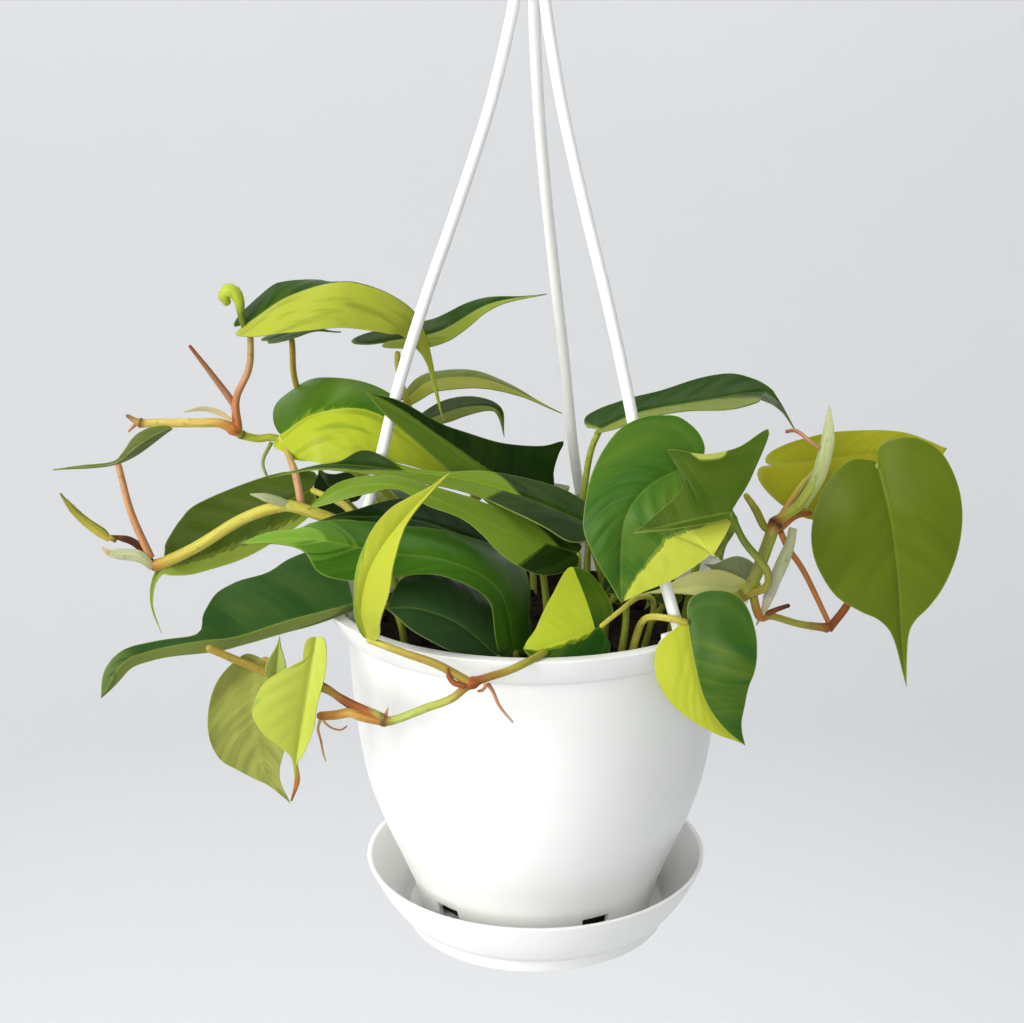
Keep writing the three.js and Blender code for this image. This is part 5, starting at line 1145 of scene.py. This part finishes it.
leaf("leaf_right_olive", "leaf_olive",
     tones=("#506e16", "#c7ce6a", "#7d9038"),
     lime=[[(0, 0.1, 0), (1, 0.1, 0)],
           [(0, 0, 0), (0.44, 0, 0), (0.47, -3, 0.9), (0.56, -3, 0.9), (0.59, 0, 0), (1, 0, 0)]],
     petiole=[(74, -43, 144), (80, -49, 149), (79, -54, 157), (70, -64, 170), (64, -74, 183)],
     stalk=(STRAW, SPRING, "#6b8a32"),
     rib=[(64, -74, 183), (51, -76, 181), (32, -78, 177)], face=(0.1, -0.6, 0.8), half=(4, 30),
     fold=[(0, -50, 25)], relief=0.3,
     edge=([(0, 0), (0.05, 0.5), (0.32, 0.6), (0.65, 0.4), (1, 0)],
           [(0, 0), (-0.14, 0.16), (-0.3, 0.35), (-0.58, 0.82), (-0.22, 0.69), (0.15, 0.69), (0.46, 0.82),
            (0.35, 0.56), (0.44, 0.34), (0.74, 0.14), (1, 0)]))
leaf("leaf_right_arch", "leaf_green",
     tones=("#2c5210", "#97a548", "#8f9f44"),
     lime=[[(0, 0.7, 0.9), (0.12, 0.3, 0.3), (0.2, 0, 0), (1, 0, 0)],
           [(0, 0.9, 0.9), (0.2, 0.8, 0.9), (0.6, 0.6, 0.8), (1, 0.1, 0.1)]],
     petiole=[(10, 4, 110), (16, 2, 150), (20, 2, 181), (24, 2, 193)], stalk=(SPRING, SPRING),
     rib=[(24, 2, 193), (39, 4, 199), (61, 4, 203), (81, 4, 206), (88, 2, 204), (95, 0, 193)],
     face=(0, -0.2, 1), half=(15, 14), fold=[(0, 8, 10)],
     edge=([(0, 0), (-0.05, 0.3), (-0.03, 0.68), (0.05, 0.75), (0.15, 0.68), (0.3, 0.7), (0.45, 0.95),
            (0.56, 1.03), (0.66, 0.94), (0.74, 0.55), (0.82, 0.1), (1, 0)],
           [(0, 0), (-0.03, 0.2), (0.05, 0.5), (0.18, 0.7), (0.42, 0.85), (0.58, 1.4), (0.7, 1.2),
            (0.82, 0.6), (0.91, 0.12), (1, 0)]))
leaf("leaf_right_gold", "leaf_olive",
     tones=("#b9b830", "#d2d04e", "#bdbc44"), lime=even(0.4, 0.3),
     petiole=[(85, -37, 169), (96, -16, 176), (103, -2, 178), (105, 6, 180)],
     stalk=(ORANGE, YELLOW, YELLOW),
     rib=[(105, 6, 180), (125, 10, 181), (154, 14, 182)], face=(0, -0.7, 0.7), half=(10.5, 24),
     fold=[(0, 5, -5)],
     edge=([(0, 0), (-0.25, 0.015), (-0.38, 0.03), (-0.4, 0.25), (-0.32, 0.55), (-0.1, 0.85), (0.25, 1),
            (0.7, 0.75), (1, 0)],
           [(0, 0), (-0.3, 0.01), (-0.45, 0.02), (-0.49, 0.2), (-0.43, 0.5), (-0.28, 0.85), (-0.1, 1),
            (0.15, 0.95), (0.5, 0.9), (0.8, 0.5), (1, 0)]))
leaf("leaf_right_heart", "leaf_olive",
     tones=("#758623", "#9db534", "#8b9a40"), lime=even(0.25),
     petiole=[(105, -32, 127), (114, -26, 138), (119, -24, 160), (119, -34, 189)],
     stalk=(RUST, ORANGE, SPRING),
     rib=[(119, -34, 189), (124, -38, 170), (128, -37, 147), (131, -34, 124), (134, -32, 105)],
     face=(0, -1, 0.15), half=(24.5, 25.5), fold=[(0, 12, 12)], curl=(-24, -24),
     edge=([(0, 0), (-0.06, 0.07), (-0.08, 0.27), (-0.06, 0.61), (0.02, 0.9), (0.15, 1.02), (0.28, 1),
            (0.42, 0.87), (0.54, 0.65), (0.63, 0.41), (0.69, 0.2), (0.77, 0.09), (1, 0)],
           [(0, 0), (-0.02, 0.1), (-0.04, 0.34), (-0.01, 0.58), (0.05, 0.83), (0.16, 1.05), (0.28, 1.13),
            (0.4, 1.08), (0.53, 0.88), (0.61, 0.58), (0.67, 0.3), (0.77, 0.12), (1, 0)]))
leaf("leaf_right_pale", "leaf_tan",
     tones=("#e2e480", "#f2f3a6", "#f4f5ac"), lime=even(0.8),
     petiole=[(76, -41, 148), (79, -35, 145), (75, -30, 142)], stalk=(SPRING, YELLOW), radius=(1, 1),
     rib=[(75, -30, 142), (59, -36, 145.4), (36, -44, 144.5)], face=(0, -0.8, 0.8), half=(5, 6),
     edge=(SLIM, SLIM))
leaf("leaf_right_grey", "leaf_olive",
     tones=("#a3ad84", "#b9c298", "#b4bc94"), lime=even(0.4),
     petiole=[(40, 4, 110), (54, -4, 134), (68, -14, 141), (76, -20, 138)], stalk=(SPRING, SPRING),
     rib=[(76, -20, 138), (70, -22, 145), (61, -23, 149)], face=(0, -0.8, 0.5), half=(8, 9),
     edge=(SLIM, SLIM))
leaf("leaf_inner_a", "leaf_green",
     tones=("#2c4716", "#6c8a34", "#6f8a3c"), lime=even(0.1),
     petiole=[(29, -38, 110), (32, -38, 130), (32, -40, 145)], stalk=(SPRING, SPRING),
     rib=[(32, -40, 145), (27, -42, 147), (23, -44, 143)], face=(0, -0.8, 0.5), half=(6, 6))
leaf("leaf_inner_b", "leaf_green",
     tones=("#4a5f22", "#8c9a44", "#8c9a44"), lime=even(0.3),
     petiole=[(48, -20, 110), (50, -24, 130), (49, -28, 141)], stalk=(SPRING, SPRING),
     rib=[(49, -28, 141), (43, -32, 140), (39, -33, 135)], face=(0, -0.8, 0.5), half=(6, 6))

# Leaves at the back: three hearts that hang over the rim and two that stand in the back half of the
# pot, all on petioles from the soil.
leaf("leaf_back_left", "leaf_green",
     tones=("#3a5f22", "#c0cc48", "#9fae52"),
     lime=[[(0, 0, 0), (1, 0.1, 0)], [(0, 0.6, 0.3), (0.5, 0.9, 0.5), (1, 0.9, 0.9)]],
     petiole=[(-27, 34, 110), (-34, 52, 142), (-40, 62, 150)], stalk=(SPRING, SPRING),
     rib=[(-40, 62, 150), (-50, 77, 148), (-55, 89, 134), (-54, 94, 112)], face=(-0.2, 0.5, 1),
     face_tip=(-0.2, 1, 0.1), half=(21, 21), fold=[(0, 8, 8)], curl=(-20, -20))
leaf("leaf_back_mid", "leaf_lime",
     tones=("#436a26", "#c6d044", "#aebc54"),
     lime=[[(0, 0.9, 0.6), (1, 1, 0.8)], [(0, 0.8, 0.2), (0.5, 0.9, 0.3), (1, 1, 0.9)]],
     petiole=[(0, 34, 110), (-2, 54, 142), (-6, 70, 152)], stalk=(SPRING, YELLOW),
     rib=[(-6, 70, 152), (-5, 86, 148), (-3, 98, 132), (-5, 102, 110)], face=(0, 0.5, 1),
     face_tip=(0.1, 1, 0.1), half=(20, 20), fold=[(0, 8, 8)], curl=(-20, -20))
leaf("leaf_back_right", "leaf_green",
     tones=("#35571e", "#b8c545", "#93a34c"),
     lime=[[(0, 0.5, 0.2), (1, 0.8, 0.4)], [(0, 0.1, 0), (1, 0.1, 0)]],
     petiole=[(28, 24, 110), (38, 36, 140), (50, 48, 150)], stalk=(SPRING, SPRING),
     rib=[(50, 48, 150), (62, 58, 149), (74, 68, 137), (78, 74, 116)], face=(0.4, 0.4, 1),
     face_tip=(0.7, 0.8, 0.1), half=(20, 20), fold=[(0, 8, 8)], curl=(-20, -20))
leaf("leaf_back_high", "leaf_green",
     tones=("#34561c", "#b4c242", "#8f9f48"),
     lime=[[(0, 0.1, 0), (1, 0.2, 0)], [(0, 0.7, 0.2), (1, 0.8, 0.5)]],
     petiole=[(20, 8, 110), (20, 12, 138), (22, 20, 160)], stalk=(SPRING, SPRING),
     rib=[(22, 20, 160), (36, 30, 167), (48, 42, 166), (56, 54, 156)], face=(0.1, 0.3, 1),
     face_tip=(0.4, 0.6, 1), half=(17, 17), fold=[(0, 10, 10)], curl=(-15, -15))
leaf("leaf_back_inner", "leaf_green",
     tones=("#3a5c22", "#a9ba40", "#8c9c46"), lime=even(0.1, 0.35),
     petiole=[(-4, 2, 110), (-4, 4, 134), (-6, 8, 150)], stalk=(SPRING, SPRING),
     rib=[(-6, 8, 150), (-12, 20, 156), (-14, 32, 154), (-12, 42, 146)], face=(0, 0.3, 1), half=(14, 14),
     fold=[(0, 10, 10)], curl=(-15, -15))
